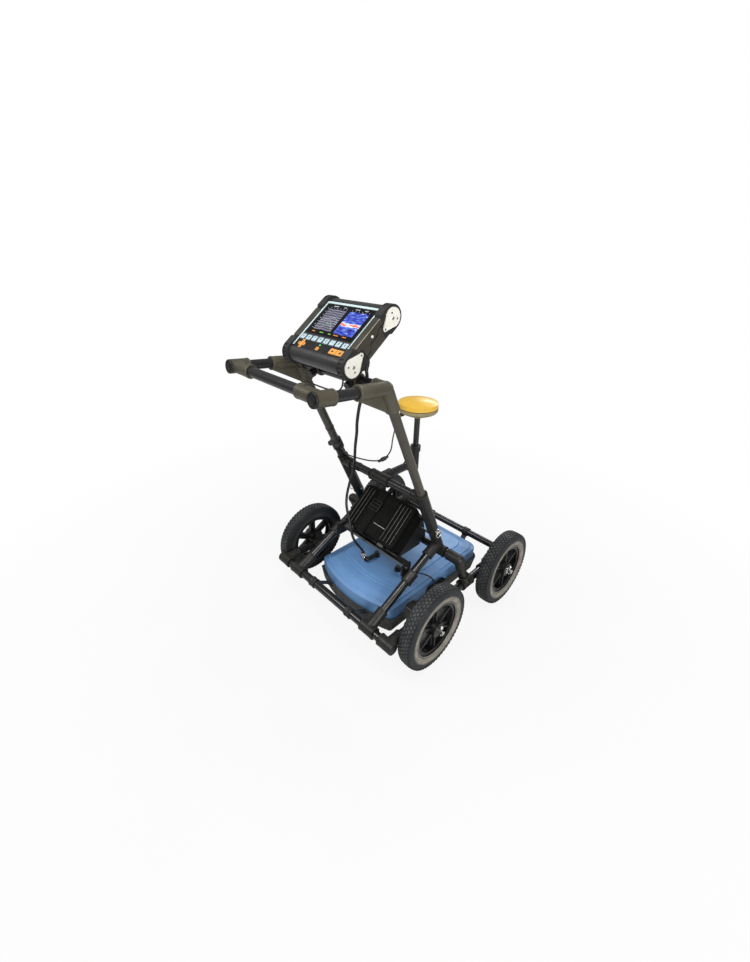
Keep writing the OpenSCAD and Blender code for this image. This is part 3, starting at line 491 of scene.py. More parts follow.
# Tubes, fittings and wheels
TUBE = Finish(
    "gloss_black_tube", "black_tube", (0.006, 0.006, 0.006), 0.26,
    coat=0.3, pitch=14.0, depth=0.000006, mottle=0.1, wander=0.05,
)
SATIN_TUBE = Finish(
    "satin_tube", "black_tube", (0.015, 0.0155, 0.0155), 0.26,
    pitch=14.0, depth=0.000006, mottle=0.06, wander=0.05,
)
OLIVE_TUBE = Finish(
    "olive_leg", "black_tube", (0.05, 0.0455, 0.033), 0.3,
    pitch=14.0, depth=0.000006, mottle=0.06, wander=0.05,
)
OLIVE_FITTING = Finish(
    "olive_handle", "grey_fitting", (0.068, 0.06, 0.039), 0.36, pitch=900.0, depth=0.00002
)
FITTING = Finish(
    "satin_grey_fitting", "grey_fitting", (0.017, 0.0165, 0.0145), 0.38,
    specular=0.3, pitch=900.0, depth=0.00002, dust_and_top_light=0.02,
)
BLACK = Finish(
    "satin_black_plastic", "black_plastic", (0.009, 0.009, 0.009), 0.38,
    pitch=800.0, depth=0.00004, dust_and_top_light=0.03,
)
RUBBER = Finish("matt_rubber", "soft_rubber", (0.012, 0.012, 0.012), 0.55, pitch=1100.0, dust_and_top_light=0.04)
# Pale bead on the black rims' edge: a painted highlight, with some dust.
RIM_HIGHLIGHT = Finish("painted_highlight_rim", "black_plastic", (0.2, 0.19, 0.17), 0.3, mottle=0.4, patches=30.0, dust_and_top_light=0.2)
STEEL = Finish(
    "bright_zinc", "bright_steel", (0.72, 0.72, 0.7), 0.26,
    metallic=1.0, pattern=Pattern.BRUSHED, pitch=1500.0, depth=0.00002,
)
SHELF_STEEL = ShelfFinish(
    "shelf_zinc", "bright_steel", (0.72, 0.72, 0.7), 0.34,
    metallic=1.0, pattern=Pattern.BRUSHED, pitch=1500.0, depth=0.00002,
)
# Battery case, its strap and the cables
WEBBING = Finish(
    "black_webbing", "webbing", (0.007, 0.007, 0.0065), 0.8,
    sheen=0.04, specular=0.12, pattern=Pattern.WOVEN, pitch=0.55, depth=0.0006,
)
CASE = Finish(
    "pebbled_case", "case_plastic", (0.006, 0.006, 0.0055), 0.46,
    specular=0.04, pattern=Pattern.PEBBLED, pitch=620.0, depth=0.00004, dust_and_top_light=0.01,
)
# Pale colour of the case's panel lip: a painted highlight along its lit edge.
CASE_LIP_HIGHLIGHT = Finish("painted_highlight_case_lip", "case_plastic", (0.4, 0.4, 0.38), 0.35, dust_and_top_light=0.1)
# Paler strips on the lid's ribs: painted highlights on the rib edges.
RIB_HIGHLIGHT = Finish("painted_highlight_rib_edge", "case_plastic", (0.085, 0.083, 0.075), 0.45, mottle=0.12, patches=6.0)
BUCKLE = Finish("buckle_nylon", "black_plastic", (0.012, 0.012, 0.011), 0.5, specular=0.15)
BATTERY = Finish("battery_case", "battery_plastic", (0.07, 0.07, 0.075), 0.5)
JACKET = Finish("jacket_rubber", "cable_jacket", (0.009, 0.009, 0.009), 0.42, pitch=900.0, depth=0.00003)
# Antenna and receiver
# The pale blue tint on the cover's upward faces is patchy dust and partly a painted highlight on its top.
BLUE = Finish(
    "moulded_blue", "antenna_blue", (0.126, 0.28, 0.55), 0.4,
    pitch=380.0, depth=0.00005, mottle=0.06, patches=7.0, dust_and_top_light=0.08, dust_and_top_light_colour=(0.4, 0.5, 0.62),
)
SKID = Finish("scuffed_skid", "skid_plastic", (0.03, 0.028, 0.022), 0.55, pitch=520.0, depth=0.0001, dust_and_top_light=0.1)
BEIGE = Finish("receiver_beige", "receiver_base", (0.29, 0.243, 0.122), 0.44)
DOME = Finish(
    "receiver_yellow", "receiver_dome", (0.78, 0.47, 0.045), 0.38, coat=0.1, mottle=0.06, depth=0.00003
)
# Console
ROLL = Finish("console_black", "console_plastic", (0.033, 0.033, 0.0325), 0.32, pitch=850.0, depth=0.00003)
# Pale strip on the console's right rail edge: a painted highlight.
RAIL_HIGHLIGHT = Finish("painted_highlight_rail_edge", "console_plastic", (0.34, 0.31, 0.24), 0.4, mottle=0.3, patches=60.0)
OLIVE = Finish("console_olive", "console_plastic", (0.04, 0.037, 0.026), 0.36, pitch=850.0, depth=0.00004)
CREAM = Finish(
    "cream_paint", "cream_plate", (0.78, 0.765, 0.69), 0.55, specular=0.2, mottle=0.04, pitch=600.0
)
PANEL = Finish("panel_overlay", "panel_black", (0.008, 0.008, 0.009), 0.3, mottle=0.1, depth=0.00003)
GLASS = Finish(
    "screen_cover", "screen_glass", (0.003, 0.003, 0.004), 0.1, specular=0.25, mottle=0.1, depth=0.000004
)
PALE = Finish("pale_overlay", "pale_key", (0.58, 0.72, 0.74), 0.55, mottle=0.04, depth=0.00003, specular=0.2)
KEY_RIM = Finish("key_rim", "pale_key", (0.1, 0.125, 0.14), 0.45, mottle=0.04, depth=0.00003)
KEY_FACE = Finish("key_window", "pale_key", (0.52, 0.67, 0.72), 0.4, mottle=0.05, depth=0.00002)
ORANGE = Finish("orange_rubber", "orange_key", (0.8, 0.36, 0.07), 0.4, mottle=0.05, depth=0.00003)
LENS = Finish("green_lens", "pale_key", (0.12, 0.7, 0.1), 0.2, glow=0.6)
READOUT = Finish("readout_marks", "screen_glass", (0.4, 0.44, 0.5), 0.3, glow=0.3, specular=0.1)
WARM_MARK = Finish("readout_warm", "screen_glass", (0.5, 0.16, 0.03), 0.3, glow=0.3, specular=0.1)
LEAF_MARK = Finish("readout_green", "screen_glass", (0.16, 0.4, 0.08), 0.3, glow=0.3, specular=0.1)
SCAN = ScanFinish("depth_scan", "screen_glass", (0.5, 0.5, 0.5), 0.3, glow=0.4, specular=0.1)
SLICE = MapFinish("depth_slice", "screen_glass", (0.1, 0.2, 0.7), 0.3, glow=0.5, specular=0.1)


def along(axis: Vector) -> Matrix:
    """Turns +Z onto an axis, keeping X level where it can.

    Args:
        axis: direction that Z takes.

    Returns:
        The rotation.
    """
    z = axis.normalized()
    side = UP.cross(z)
    x = RIGHT.copy() if side.length < 1e-6 else side.normalized()
    y = z.cross(x)
    return Matrix((x, y, z)).transposed().to_4x4()


def tilted(origin: Point, degrees: float) -> Matrix:
    """Matrix of a plane through a point that leans back about X."""
    return Matrix.Translation(Vector(origin)) @ Matrix.Rotation(math.radians(degrees), 4, "X")


def circle(steps: int) -> list[Flat]:
    """Cosine and sine of equal steps round a circle."""
    angles = [2 * math.pi * k / steps for k in range(steps)]
    return [(math.cos(a), math.sin(a)) for a in angles]


def loft(bm: MeshWork, rings: Sequence[Sequence[Vector]], loop: bool = False) -> None:
    """Skins rings of equal length, and closes the ends unless they loop.

    Args:
        bm: mesh that takes the skin.
        rings: points of each ring, in order.
        loop: whether the last ring joins the first.
    """
    made = [[bm.verts.new(p) for p in ring] for ring in rings]
    count = len(made[0])
    pairs = list(zip(made, made[1:]))
    if loop:
        pairs.append((made[-1], made[0]))
    else:
        bm.faces.new(list(reversed(made[0])))
        bm.faces.new(made[-1])
    for low, high in pairs:
        for i in range(count):
            j = (i + 1) % count
            bm.faces.new((low[i], low[j], high[j], high[i]))


def turn(bm: MeshWork, profile: Sequence[Flat], origin: Vector, axis: Vector, steps: int = 40) -> None:
    """Revolves a closed profile of (radius, height) round an axis.

    Args:
        bm: mesh that takes the solid.
        profile: closed outline, every radius above 0.
        origin: point where height is 0.
        axis: direction of height.
        steps: facets round the axis.
    """
    place = Matrix.Translation(origin) @ along(axis)
    rings = [[place @ Vector((r * c, r * s, h)) for r, h in profile] for c, s in circle(steps)]
    loft(bm, rings, loop=True)


def stud(bm: MeshWork, profile: Sequence[Flat], origin: Vector, axis: Vector, steps: int = 28) -> None:
    """Skins a stack of circles of (radius, height), closed at both ends.

    Args:
        bm: mesh that takes the solid.
        profile: circles from the foot up.
        origin: point where height is 0.
        axis: direction of height.
        steps: facets round the axis.
    """
    place = Matrix.Translation(origin) @ along(axis)
    loft(bm, [[place @ Vector((r * c, r * s, h)) for c, s in circle(steps)] for r, h in profile])


def sweep(bm: MeshWork, path: Sequence[Vector], radii: Sequence[float] | float, sides: int = 12) -> None:
    """Sweeps a round section along a path.

    Args:
        bm: mesh that takes the tube.
        path: points of the centreline.
        radii: one radius, or one for each point.
        sides: facets round the tube.
    """
    sizes = [radii] * len(path) if isinstance(radii, (int, float)) else list(radii)
    tangent = (path[1] - path[0]).normalized()
    normal = tangent.orthogonal().normalized()
    rings = []
    for i, point in enumerate(path):
        ahead = path[min(i + 1, len(path) - 1)] - path[max(i - 1, 0)]
        turnover = tangent.rotation_difference(ahead)
        tangent = ahead.normalized()
        normal = turnover @ normal
        other = tangent.cross(normal)
        rings.append([point + sizes[i] * (c * normal + s * other) for c, s in circle(sides)])
    loft(bm, rings)


def prism(bm: MeshWork, outline: Sequence[Flat], place: Matrix, deep: Flat, soft: float = 0.0) -> None:
    """Extrudes an outline between two heights, its edges rounded.

    Args:
        bm: mesh that takes the solid.
        outline: corners in the plane, in order.
        place: matrix that sets the plane in the part's frame.
        deep: lower and upper height.
        soft: radius on the edges.
    """
    rings = []
    for h in deep:
        rings.append([bm.verts.new(place @ Vector((x, y, h))) for x, y in outline])
    faces = [bm.faces.new(list(reversed(rings[0]))), bm.faces.new(rings[1])]
    count = len(outline)
    for i in range(count):
        j = (i + 1) % count
        faces.append(bm.faces.new((rings[0][i], rings[0][j], rings[1][j], rings[1][i])))
    if soft:
        edges = list(dict.fromkeys(e for f in faces[:2] for e in f.edges))
        bmesh.ops.bevel(bm, geom=edges, offset=soft, segments=3, profile=0.5, affect="EDGES")


def side_prism(
    bm: MeshWork, outline: Sequence[Flat], place: Matrix, side: int, deep: Flat, soft: float = 0.0
) -> None:
    """Extrudes an outline of the side view out to one side of the cart.

    Args:
        bm: mesh that takes the solid.
        outline: corners of (along, up), in order.
        place: matrix of what carries the outline.
        side: 1 on the right, -1 on the left.
        deep: nearer and farther distance from the middle.
        soft: radius on the edges.
    """
    turned = place @ Matrix(((0, 0, side, 0), (1, 0, 0, 0), (0, 1, 0, 0), (0, 0, 0, 1)))
    order = outline if side > 0 else list(reversed(outline))
    prism(bm, order, turned, deep, soft)


def rounded(w: float, h: float, r: float, centre: Flat = (0.0, 0.0), steps: int = 5) -> list[Flat]:
    """Outline of a rectangle with round corners.

    Args:
        w: width.
        h: height.
        r: corner radius.
        centre: its middle.
        steps: facets in each corner.

    Returns:
        The outline's points.
    """
    points = []
    for quarter, (sx, sy) in enumerate(((1, 1), (-1, 1), (-1, -1), (1, -1))):
        for k in range(steps + 1):
            a = math.pi / 2 * (quarter + k / steps)
            x = centre[0] + sx * (w / 2 - r) + r * math.cos(a)
            y = centre[1] + sy * (h / 2 - r) + r * math.sin(a)
            points.append((x, y))
    return points


def smooth(route: Sequence[Point], steps: int = 6) -> list[Vector]:
    """Points of a smooth curve through given ones.

    Args:
        route: the points it passes.
        steps: points for each stretch.

    Returns:
        The curve's points.
    """
    p = [Vector(x) for x in route]
    last = len(p) - 1
    out = []
    for i in range(last):
        a, b, c, d = p[max(i - 1, 0)], p[i], p[i + 1], p[min(i + 2, last)]
        for k in range(steps):
            t = k / steps
            linear = (c - a) * t
            square = (2 * a - 5 * b + 4 * c - d) * t * t
            cube = (3 * b - a - 3 * c + d) * t**3
            out.append(0.5 * (2 * b + linear + square + cube))
    return out + [p[last]]


def run_length(points: Sequence[Vector]) -> float:
    """Length of a line of points."""
    return sum((b - a).length for a, b in zip(points, points[1:]))


def settle(name: str, bm: MeshWork, finish: Finish, body: str | None, sharp: float = 38.0) -> Piece:
    """Turns mesh work in millimetres into a dressed piece that rides on a body.

    Args:
        name: name of the piece.
        bm: the mesh work, freed here.
        finish: finish it wears.
        body: body it rides on, or None where it rides on none.
        sharp: angle in degrees above which an edge stays sharp.

    Returns:
        The piece.
    """
    bmesh.ops.scale(bm, vec=(MM, MM, MM), verts=bm.verts)
    bmesh.ops.recalc_face_normals(bm, faces=bm.faces)
    mesh = bpy.data.meshes.new(name)
    bm.to_mesh(mesh)
    bm.free()
    mesh.shade_smooth()
    mesh.set_sharp_from_angle(angle=math.radians(sharp))
    mesh.materials.append(finish.material())
    piece = bpy.data.objects.new(name, mesh)
    bpy.context.scene.collection.objects.link(piece)
    if body:
        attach(piece, body)
    LOG.info("%s: %d faces, rides on %s", name, len(mesh.polygons), body or "two bodies")
    return piece


def dress(nodes: Iterable[str], finish: Finish) -> None:
    """Gives a finish to nodes of the frame.

    Args:
        nodes: names of the nodes.
        finish: what they wear.
    """
    for name in nodes:
        mesh = frame["nodes"][name].data
        mesh.materials.clear()
        mesh.materials.append(finish.material())
        LOG.info("%s wears %s", name, finish.name)


def soften(nodes: Iterable[str], width: float) -> None:
    """Rounds the sharp edges of nodes with modifiers.

    Args:
        nodes: names of the nodes.
        width: width of the round in millimetres.
    """
    for name in nodes:
        node = frame["nodes"][name]
        weld = node.modifiers.new("weld", "WELD")
        weld.merge_threshold = 0.00001
        edge = node.modifiers.new("edge", "BEVEL")
        edge.width = width * MM
        edge.segments = 2
        edge.limit_method = "ANGLE"
        edge.angle_limit = math.radians(50)
        edge.harden_normals = True


def flatten_uv(piece: Piece, place: Matrix, low: Flat, high: Flat) -> None:
    """Maps a piece's faces onto a plane, from 0 to 1 between two corners.

    Args:
        piece: the piece.
        place: matrix of the plane, in millimetres.
        low: plane corner that becomes (0, 0).
        high: plane corner that becomes (1, 1).
    """
    mesh = piece.data
    layer = mesh.uv_layers.new(name="plane")
    back = place.inverted()
    for loop in mesh.loops:
        p = back @ (mesh.vertices[loop.vertex_index].co / MM)
        layer.data[loop.index].uv = ((p.x - low[0]) / (high[0] - low[0]), (p.y - low[1]) / (high[1] - low[1]))


@dataclass
class Studio:
    """Camera at the photograph's angle, white floor and soft lamps."""

    eye: Point = (972.6, -1038.7, 1328.6)
    heading: float = 45.39
    pitch: float = 23.62
    roll: float = -1.30
    focal_px: float = 434.2
    middle_px: Flat = (374.1, 437.5)
    image_px: Flat = (750.0, 962.0)
    sensor: float = 36.0
    floor_side: float = 60.0
    floor_shades: Flat = (0.56, 0.62)
    floor_fade: Flat = (0.7, 2.0)
    floor_white: Flat = (0.88, 1.0)
    ambient: float = 0.3

    def build(self) -> None:
        """Makes the camera, the floor, the world and the lamps."""
        self.camera()
        self.floor()
        self.world()
        self.lamps()
        bpy.context.scene.view_settings.view_transform = "Standard"

    def camera(self) -> None:
        """Places the camera as the photograph's was solved."""
        a, p, r = (math.radians(x) for x in (self.heading, self.pitch, self.roll))
        gaze = Vector((-math.sin(a) * math.cos(p), math.cos(a) * math.cos(p), -math.sin(p)))
        level = Vector((math.cos(a), math.sin(a), 0.0))
        down = gaze.cross(level)
        side = math.cos(r) * level + math.sin(r) * down
        lower = -math.sin(r) * level + math.cos(r) * down
        lens = bpy.data.cameras.new("photo_camera")
        wide, tall = self.image_px
        lens.sensor_width = self.sensor
        lens.lens = self.focal_px / tall * self.sensor
        lens.shift_x = (wide / 2 - self.middle_px[0]) / tall
        lens.shift_y = (self.middle_px[1] - tall / 2) / tall
        lens.clip_start = 0.05
        lens.clip_end = 60.0
        eye = bpy.data.objects.new("photo_camera", lens)
        turned = Matrix((side, -lower, -gaze)).transposed().to_4x4()
        eye.matrix_world = Matrix.Translation(Vector(self.eye) * MM) @ turned
        bpy.context.scene.collection.objects.link(eye)
        bpy.context.scene.camera = eye

    def floor(self) -> None:
        """Lays a pale floor that keeps the cart's shadow."""
        bm = bmesh.new()
        bmesh.ops.create_grid(bm, x_segments=8, y_segments=8, size=self.floor_side / 2)
        mesh = bpy.data.meshes.new("studio_floor")
        bm.to_mesh(mesh)
        bm.free()
        floor = bpy.data.objects.new("studio_floor", mesh)
        bpy.context.scene.collection.objects.link(floor)
        kit = NodeKit("studio_floor")
        dark, pale = ((shade,) * 3 for shade in self.floor_shades)
        kit.feed(kit.shader, "Base Color", kit.ramp(kit.noise(3.0, 2.0), [(0.2, dark), (0.8, pale)]))
        kit.shader.inputs["Roughness"].default_value = 0.9
        glow = kit.add("ShaderNodeEmission", {"Color": (1, 1, 1, 1), "Strength": 1.0})
        away = kit.add("ShaderNodeVectorMath", {0: kit.coords.outputs["Object"]}, operation="LENGTH")
        whiten = kit.remap(away.outputs["Value"], self.floor_fade, self.floor_white)
        share = kit.calc("MULTIPLY", kit.add("ShaderNodeLightPath").outputs["Is Camera Ray"], whiten)
        blend = kit.add("ShaderNodeMixShader", {0: share, 1: kit.shader.outputs[0], 2: glow.outputs[0]})
        out = kit.tree.nodes["Material Output"]
        kit.tree.links.new(blend.outputs[0], out.inputs["Surface"])
        mesh.materials.append(kit.material)

    def world(self) -> None:
        """Makes a white world that lights the cart at a plain level."""
        world = bpy.data.worlds.new("studio")
        bpy.context.scene.world = world
        world.use_nodes = True
        nodes, links = world.node_tree.nodes, world.node_tree.links
        ray = nodes.new("ShaderNodeLightPath")
        level = nodes.new("ShaderNodeMapRange")
        level.inputs[3].default_value = self.ambient
        level.inputs[4].default_value = 1.0
        links.new(ray.outputs["Is Camera Ray"], level.inputs[0])
        links.new(level.outputs[0], nodes["Background"].inputs["Strength"])
        nodes["Background"].inputs["Color"].default_value = (1, 1, 1, 1)

    def lamps(self) -> None:
        """Hangs the key, the fill and two strips that draw lines on the tubes."""
        self.lamp("key", (-1.5, -2.0, 3.0), (0.0, 0.0, 0.6), (1.2, 1.2), 34.0)
        self.lamp("fill", (3.0, -1.2, 1.6), (0.1, 0.0, 0.5), (1.4, 1.8), 73.0)
        self.lamp("strip_top", (0.4, -1.0, 3.9), (0.0, -0.2, 0.3), (3.2, 0.36), 60.0)
        self.lamp("strip_rear", (-0.6, 2.8, 2.0), (0.0, 0.0, 0.6), (2.4, 0.3), 34.0)

    def lamp(self, name: str, at: Point, aim: Point, size: Flat, power: float) -> None:
        """Hangs one area lamp.

        Args:
            name: name of the lamp.
            at: its place in metres.
            aim: point that it faces, in metres.
            size: its two sides in metres.
            power: watts.
        """
        lamp = bpy.data.lights.new(name, "AREA")
        lamp.shape = "RECTANGLE"
        lamp.size, lamp.size_y = size
        lamp.energy = power
        holder = bpy.data.objects.new(name, lamp)
        holder.location = at
        holder.rotation_mode = "QUATERNION"
        holder.rotation_quaternion = (Vector(aim) - Vector(at)).to_track_quat("-Z", "Y")
        bpy.context.scene.collection.objects.link(holder)


@dataclass(frozen=True)
class Sizes:
    """Sizes of the frame that several assemblies share, in millimetres and degrees."""

    tube_d: float = 30.0
    fit_d: float = 42.0
    branch_d: float = 40.0
    rail_x: float = 290.0
    leg_x: float = 200.0
    rear_y: float = -282.0
    front_y: float = 423.0
    axle_z: float = 152.5
    rear_axle_y: float = -114.0
    front_axle_y: float = 329.0
    wheel_x: float = 340.0
    foot: Point = (200.0, 83.0, 291.0)
    leg_lean: float = 24.8
    leg_len: float = 764.0
    rail_join: float = 42.0
    arm_len: float = 217.0
    arm_rise: float = 4.8
    brace_t: float = 296.0
    neck_len: float = 116.0
    sleeve_len: float = 207.0
    mast_y: float = 146.8
    gps_z: float = 757.7

    @property
    def leg_dir(self) -> Vector:
        """Direction up a leg."""
        return Vector((0, -math.sin(math.radians(self.leg_lean)), math.cos(math.radians(self.leg_lean))))

    @property
    def arm_dir(self) -> Vector:
        """Direction back along a handle arm."""
        return Vector((0, -math.cos(math.radians(self.arm_rise)), math.sin(math.radians(self.arm_rise))))

    @property
    def elbow(self) -> Vector:
        """Centre of the right handle elbow."""
        return Vector(self.foot) + self.leg_len * self.leg_dir

    @property
    def handle(self) -> Vector:
        """Centre of the right handle tee."""
        return self.elbow + self.arm_len * self.arm_dir

    @property
    def brace(self) -> Vector:
        """Point where the brace meets the right leg."""
        return Vector(self.foot) + self.brace_t * self.leg_dir

    @property
    def rear_joint(self) -> Vector:
        """Centre of the right rear tee."""
        return Vector((self.leg_x, self.rear_y, self.axle_z))

    @property
    def rail_top(self) -> Vector:
        """Point where the right upper rail meets its leg."""
        return Vector(self.foot) + self.rail_join * self.leg_dir

    @property
    def rail_dir(self) -> Vector:
        """Direction up the upper rail."""
        return (self.rail_top - self.rear_joint).normalized()

    @property
    def post_top(self) -> Vector:
        """Centre of the right side post's elbow."""
        return Vector((self.rail_x, self.foot[1], self.foot[2]))

    @property
    def post_foot(self) -> Vector:
        """Point where the right side post meets the side rail."""
        drop = (self.foot[2] - self.axle_z) / math.cos(math.radians(self.leg_lean))
        return self.post_top - drop * self.leg_dir

    def up_left_leg(self, reach: float) -> Vector:
        """Point on the left leg at a distance from its foot."""
        point = Vector(self.foot) + reach * self.leg_dir
        return Vector((-point.x, point.y, point.z))


SIZES = Sizes()


def sides_of(centre: Vector, way: Vector) -> list[tuple[Vector, Vector]]:
    """Gives a place and direction on both sides of the cart.

    Args:
        centre: place on the right, or in the middle.
        way: its direction.

    Returns:
        The right and the left pair, or the one pair of a place in the middle.
    """
    sides = BOTH if centre.x > 1 else (1,)
    return [tuple(Vector((side * p.x, p.y, p.z)) for p in (centre, way)) for side in sides]


def hug(r: float, thick: float, crown: float, half: float) -> list[Flat]:
    """Profile of a band that hugs a round.

    Args:
        r: radius of the round.
        thick: how far its shoulders stand out.
        crown: how far its middle stands out.
        half: half its width.

    Returns:
        Points of (radius, height).
    """
    shoulder = half - 0.4
    skin = r + 0.2
    return [(skin, -half), (r + thick, -shoulder), (r + crown, 0), (r + thick, shoulder), (skin, half)]


@dataclass
class Cables:
    """Three leads, their boots, clips and connectors."""

    data_d: float = 10.0
    thin_d: float = 5.0
    data_top: tuple[Point, ...] = ((102, 20.5, 31.5), (105, 21.5, 0.5), (98, 21.5, -34.5), (76, 21.5, -80))
    data_drop: tuple[Point, ...] = (
        (42, -196, 834), (18, -176, 782), (-20, -148, 712), (-58, -116, 646), (-96, -84, 598),
        (-118, -68, 556), (-126, -74, 522), (-128, -84, 486), (-126, -95, 452), (-119, -104, 422),
        (-107, -110, 397), (-94, -114.5, 377), (-82, -118, 355), (-74, -119.5, 330), (-68, -118, 306),
        (-64, -112, 284), (-61, -101, 262), (-59, -87, 240), (-58.2, -76, 222), (-57, -70, 207.2),
    )
    receiver_drop: tuple[Point, ...] = (
        (-66.3, 130.7, 741.2), (-75, 125, 718), (-69, 101, 694), (-38, 56, 672), (-2, 8, 652),
        (2, -34, 634), (-30, -62, 625), (-100, -76, 618), (-150, -78, 616), (-176, -82, 634),
        (-182, -102, 690), (-182, -147, 790),
    )
    receiver_top: tuple[Point, ...] = (
        (-181.5, 47, -104.5), (-172, 16, -68), (-145, -4, -58), (-60, -12, -55),
        (10, -15.5, -50), (40, -19.5, -32), (50, -21.5, -8), (53, -21.5, 17.5),
    )
    odometer_route: tuple[Point, ...] = (
        (98.5, -16, 188.5), (114, -12, 190), (150, 14, 187), (188, 44, 177), (206, 60, 152), (220, 44, 134),
        (240, -8, 134), (252, -52, 148), (250, -74.5, 152.5),
    )
    data_boot: tuple[Point, ...] = (
        (100, -223, 1056), (100, -214, 1044), (101, -211, 1032), (102, -217, 1012),
    )
    data_boot_r: Flat = (7.8, 5.7)
    thin_boot: tuple[Point, ...] = (
        (50, -258, 1026), (50.5, -252, 1016), (52.5, -257, 1006), (53, -259, 996),
    )
    thin_boot_r: Flat = (6.6, 3.4)
    receiver_sway: tuple[Point, Point] = ((0, -60, 616), (0, 135.2, 706.2))
    joint_knot: int = 5
    coupling: Point = (-57, -70, 184.3)
    coupling_r: float = 8.9
    knurls: int = 22
    leg_ties_at: tuple[float, ...] = (470.0, 590.0)
    leg_clamp_at: float = 388.0

    @staticmethod
    def from_top(points: Sequence[Point]) -> tuple[Point, ...]:
        """Moves points given from the top cross tube into the cart's frame."""
        top = Vector((0, SIZES.elbow.y, SIZES.elbow.z))
        return tuple(tuple(top + Vector(p)) for p in points)

    def build(self) -> None:
        """Lays every lead and what sits on it."""
        plugs = frame["nodes"]["antenna_plugs"]
        data_route = self.from_top(self.data_top) + self.data_drop
        data = self.lead("data_cable", data_route, self.data_d)
        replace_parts(data, "cables")
        self.declare(data, data_route, self.data_d, "connector", [plugs, self.angled_coupling()])
        odometer = self.lead("odometer_cable", self.odometer_route, self.thin_d)
        self.declare(odometer, self.odometer_route, self.thin_d, "object", [])
        self.receiver_lead()
        self.boot("data_cable_boot", self.data_boot, self.data_boot_r)
        self.boot("receiver_cable_boot", self.thin_boot, self.thin_boot_r)
        self.leg_ties()
        self.leg_clamp()
        self.brace_clip(data_route)

    def lead(self, name: str, route: Sequence[Point], diameter: float) -> Piece:
        """Lays one lead as a smooth curve.

        Args:
            name: name of the piece.
            route: points it passes, from its exit.
            diameter: its thickness.

        Returns:
            The curve.
        """
        points = [Vector(p) * MM for p in route]
        curve = bpy.data.curves.new(name, "CURVE")
        curve.dimensions = "3D"
        curve.bevel_depth = diameter * MM / 2
        curve.bevel_resolution = 4
        curve.resolution_u = 10
        curve.use_fill_caps = True
        spline = curve.splines.new("BEZIER")
        spline.bezier_points.add(len(points) - 1)
        for i, knot in enumerate(spline.bezier_points):
            pull = (points[min(i + 1, len(points) - 1)] - points[max(i - 1, 0)]) / 6
            knot.handle_left_type = knot.handle_right_type = "FREE"
            knot.co = points[i]
            knot.handle_left = points[i] - pull
            knot.handle_right = points[i] + pull
        curve.materials.append(JACKET.material())
        piece = bpy.data.objects.new(name, curve)
        bpy.context.scene.collection.objects.link(piece)
        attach(piece, "cart_frame")
        LOG.info("%s: %.0f mm of lead", name, run_length(smooth(route)))
        return piece

    @staticmethod
    def declare(
        piece: Piece, route: Sequence[Point], diameter: float, end: str, riders: list[Piece]
    ) -> None:
        """Does nothing: the lead's length, thickness and far end are not recorded.

        Args:
            piece: the lead; not used.
            route: points it passes; not used.
            diameter: its thickness; not used.
            end: what its far end is; not used.
            riders: pieces that go with it; not used.
        """

    def receiver_lead(self) -> None:
        """Lays the receiver's lead up to the receiver, with a joint on it."""
        steps = 5
        path = smooth(self.receiver_drop + self.from_top(self.receiver_top), steps)
        bm = bmesh.new()
        sweep(bm, path, self.thin_d / 2, 12)
        lead = settle("receiver_cable", bm, JACKET, None)
        spot = steps * self.joint_knot
        middle = path[spot]
        line = (path[spot + 1] - path[spot - 1]).normalized()
        bm = bmesh.new()
        profile = [
            (2.6, -22), (4.6, -19), (5.0, -12), (7.2, -11), (7.6, -4),
            (7.6, 4), (7.2, 6), (5.4, 7), (5.0, 17), (2.6, 21),
        ]
        stud(bm, profile, middle, line)
        joint = settle("receiver_cable_joint", bm, BLACK, None)
        for piece in (lead, joint):
            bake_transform(piece)

    @staticmethod
    def boot(name: str, route: Sequence[Point], taper: Flat) -> None:
        """Makes a curved, ringed strain relief between the cart and the console.

        Args:
            name: name of the piece.
            route: its centreline from the gland down.
            taper: radius at the gland and at the cable.
        """
        wide, slim = taper
        path = smooth(route, 12)
        radii = []
        for i in range(len(path)):
            share = i / (len(path) - 1)
            groove = 0.7 if i % 4 == 3 and 0.15 < share < 0.9 else 0.0
            radii.append(wide + (slim - wide) * share - groove)
        bm = bmesh.new()
        sweep(bm, path, radii, 16)
        piece = settle(name, bm, RUBBER, None)
        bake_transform(piece)

    def angled_coupling(self) -> Piece:
        """Caps the data cable's end with a bright angled coupling and its two knurled nuts.

        Returns:
            The coupling.
        """
        bm = bmesh.new()
        bend = Vector(self.coupling)
        angles = [math.radians(a) for a in range(6, 180, 12)]
        dome = [(self.coupling_r * math.sin(a), -self.coupling_r * math.cos(a)) for a in angles]
        stud(bm, dome, bend, UP, 32)
        for way, reach in ((UP, 21.2), (RIGHT, 17.6)):
            nut = [(7.4, 4.0), (7.4, 8.5), (9.9, 8.7), (10.5, 9.4), (10.5, reach - 3.6), (9.9, reach - 2.9)]
            stud(bm, nut + [(7.5, reach - 2.6), (7.5, reach)], bend, way, 32)
            for c, s in circle(self.knurls):
                spot = along(way) @ Vector((10.4 * c, 10.4 * s, 9.8))
                stud(bm, [(0.5, 0), (0.8, 0.4), (0.8, reach - 14.4), (0.5, reach - 14)], bend + spot, way, 6)
        return settle("data_cable_coupling", bm, STEEL, "cart_frame")

    def leg_ties(self) -> None:
        """Ties the receiver's lead to the left leg."""
        bm = bmesh.new()
        s = SIZES
        r = s.tube_d / 2
        for reach in self.leg_ties_at:
            centre = s.up_left_leg(reach)
            turn(bm, hug(r, 1.4, 1.6, 3), centre, s.leg_dir, 36)
            turn(bm, hug(self.thin_d / 2, 1.6, 1.8, 3), centre + Vector((r + 3, 0, 0)), s.leg_dir, 20)
        settle("leg_cable_ties", bm, BLACK, "cart_frame")

